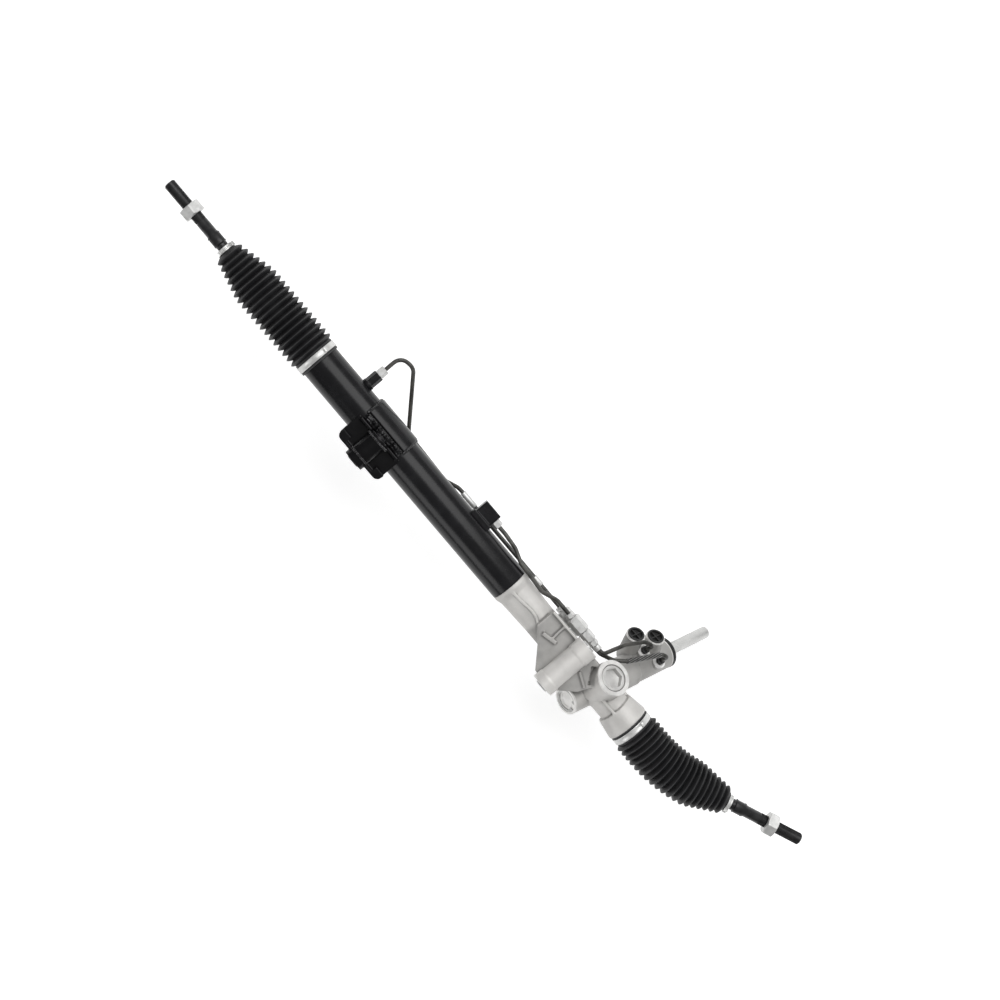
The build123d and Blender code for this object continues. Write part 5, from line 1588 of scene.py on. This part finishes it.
@dataclass
class Internals(Group):
    """The CAD nodes that stay, with the finish of their slot."""

    def build(self) -> None:
        """Gives every CAD node its slot's material."""
        slots = {row["node"]: row["material_slot"] for row in frame["record"]["subparts"]}
        for node, piece in frame["nodes"].items():
            piece.data.materials.clear()
            piece.data.materials.append(self.finishes.of[Slot(slots[node])])
        bright = PlatedSteel("ring_steel", (0.52, 0.52, 0.51), (0.36, 0.36, 0.35), 0.36, 0.6).make()
        frame["nodes"]["cap_retaining_ring"].data.materials[0] = bright


# The studio


@dataclass
class Studio:
    """Floor, soft lamps, world and camera."""

    camera_at: Point3 = (-0.4603, 0.0691, 2.5261)
    camera_right: Point3 = (0.64228, 0.76397, 0.06184)
    camera_up: Point3 = (-0.76045, 0.64525, -0.07322)
    camera_back: Point3 = (-0.09584, 0.0, 0.99540)
    lens: float = 72.0
    floor_size: float = 14.0
    floor_glow: float = 0.5
    white_from: float = 0.9
    white_at: float = 2.6
    world_low: float = 0.05
    world_high: float = 0.50
    sky_lean: Point3 = (0.05, 0.75, 0.66)
    lamps_look_at: Point3 = (-0.2, 0, -0.05)
    # name, place, edge in metres and power in watts
    lamps: tuple[tuple[str, Point3, float, float], ...] = (
        ("key_lamp", (-0.5, 1.8, 2.8), 2.6, 66.0),
        ("fill_lamp", (0.3, -2.6, 1.3), 1.6, 20.0),
    )

    def build(self) -> None:
        """Builds the whole studio."""
        self.add_floor()
        self.add_world()
        for name, at, size, power in self.lamps:
            self.add_lamp(name, Vector(at), size, power)
        self.add_camera()
        bpy.context.scene.view_settings.view_transform = "Standard"

    def add_floor(self) -> None:
        """A pale floor just under the part, which shows white and keeps the part's shadow."""
        low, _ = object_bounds()
        bpy.ops.mesh.primitive_plane_add(size=self.floor_size, location=(-0.3, 0.05, low.z - 0.002))
        floor = bpy.context.object
        floor.name = "floor"
        material = bpy.data.materials.new("floor")
        material.use_nodes = True
        graph = Graph(material.node_tree)
        shader = graph.tree.nodes["Principled BSDF"]
        for name, value in (("Base Color", (0.88, 0.88, 0.88, 1)), ("Roughness", 0.9), ("Specular IOR Level", 0.1)):
            shader.inputs[name].default_value = value
        seen = graph.node("ShaderNodeLightPath", output="Is Camera Ray").larger(
            graph.node("ShaderNodeLightPath", output="Is Glossy Ray"))
        away = graph.node("ShaderNodeVectorMath", {"operation": "LENGTH"},
                          {0: graph.node("ShaderNodeTexCoord", output="Object")}, "Value")
        fade = graph.node("ShaderNodeMapRange", inputs={0: away, 1: self.white_from, 2: self.white_at,
                                                        3: self.floor_glow, 4: 1.0})
        glow = graph.node("ShaderNodeEmission", inputs={"Color": (1, 1, 1, 1), "Strength": seen * fade})
        both = graph.node("ShaderNodeAddShader", inputs={0: Value(graph, shader.outputs[0]), 1: glow})
        graph.feed(graph.tree.nodes["Material Output"].inputs["Surface"], both)
        floor.data.materials.append(material)
        floor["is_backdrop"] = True

    def add_world(self) -> None:
        """White to the camera, and a soft light from above elsewhere."""
        world = bpy.data.worlds.new("studio")
        world.use_nodes = True
        graph = Graph(world.node_tree)
        background = graph.tree.nodes["Background"]
        lean = graph.node("ShaderNodeVectorMath", {"operation": "DOT_PRODUCT"},
                          {0: graph.node("ShaderNodeTexCoord", output="Generated"), 1: self.sky_lean}, "Value")
        shade = graph.node("ShaderNodeMapRange", inputs={0: lean, 1: -0.9, 2: 0.9, 3: self.world_low,
                                                         4: self.world_high})
        seen = graph.node("ShaderNodeLightPath", output="Is Camera Ray")
        level = graph.node("ShaderNodeMix", {"data_type": "FLOAT"}, {"Factor": seen, "A": shade, "B": 1.0}, "Result")
        background.inputs["Color"].default_value = (1, 1, 1, 1)
        graph.feed(background.inputs["Strength"], level)
        bpy.context.scene.world = world

    def add_lamp(self, name: str, at: Vector, size: float, power: float) -> None:
        """A square soft box that looks at the part's middle.

        Args:
            name: of the lamp.
            at: its place, in metres.
            size: edge of the box, in metres.
            power: in watts.
        """
        lamp = bpy.data.lights.new(name, "AREA")
        lamp.shape = "SQUARE"
        lamp.size = size
        lamp.energy = power
        holder = placed(name, lamp)
        holder.location = at
        holder.rotation_euler = (Vector(self.lamps_look_at) - at).to_track_quat("-Z", "Y").to_euler()

    def add_camera(self) -> None:
        """The camera at the photograph's viewing angle."""
        data = bpy.data.cameras.new("camera")
        data.lens = self.lens
        data.sensor_width = 36.0
        data.clip_end = 100.0
        camera = placed("camera", data)
        turn = Matrix((self.camera_right, self.camera_up, self.camera_back)).transposed().to_4x4()
        camera.matrix_world = Matrix.Translation(self.camera_at) @ turn
        bpy.context.scene.camera = camera


def main() -> None:
    """Builds the part piece by piece and then its studio."""
    logging.basicConfig(level=logging.INFO, format="%(name)s: %(message)s")
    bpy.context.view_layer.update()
    finishes = Finishes()
    Internals(finishes).build()
    Casting(finishes).build()
    Cylinder(finishes).build()
    Bellows(finishes, "left", -512.0, -497.0, 26.4, -X, LEFT_BALL, -X, (0.58, 0.70)).build()
    Bellows(finishes, "right", 134.02, 119.02, 26.2, X, RIGHT_BALL, RIGHT_OUT, (0.47, 0.70)).build()
    TieRod(finishes, "left", LEFT_BALL, -X).build()
    TieRod(finishes, "right", RIGHT_BALL, RIGHT_OUT).build()
    Lines(finishes).build()
    ValveEnd(finishes).build()
    Studio().build()


if __name__ == "__main__":
    main()
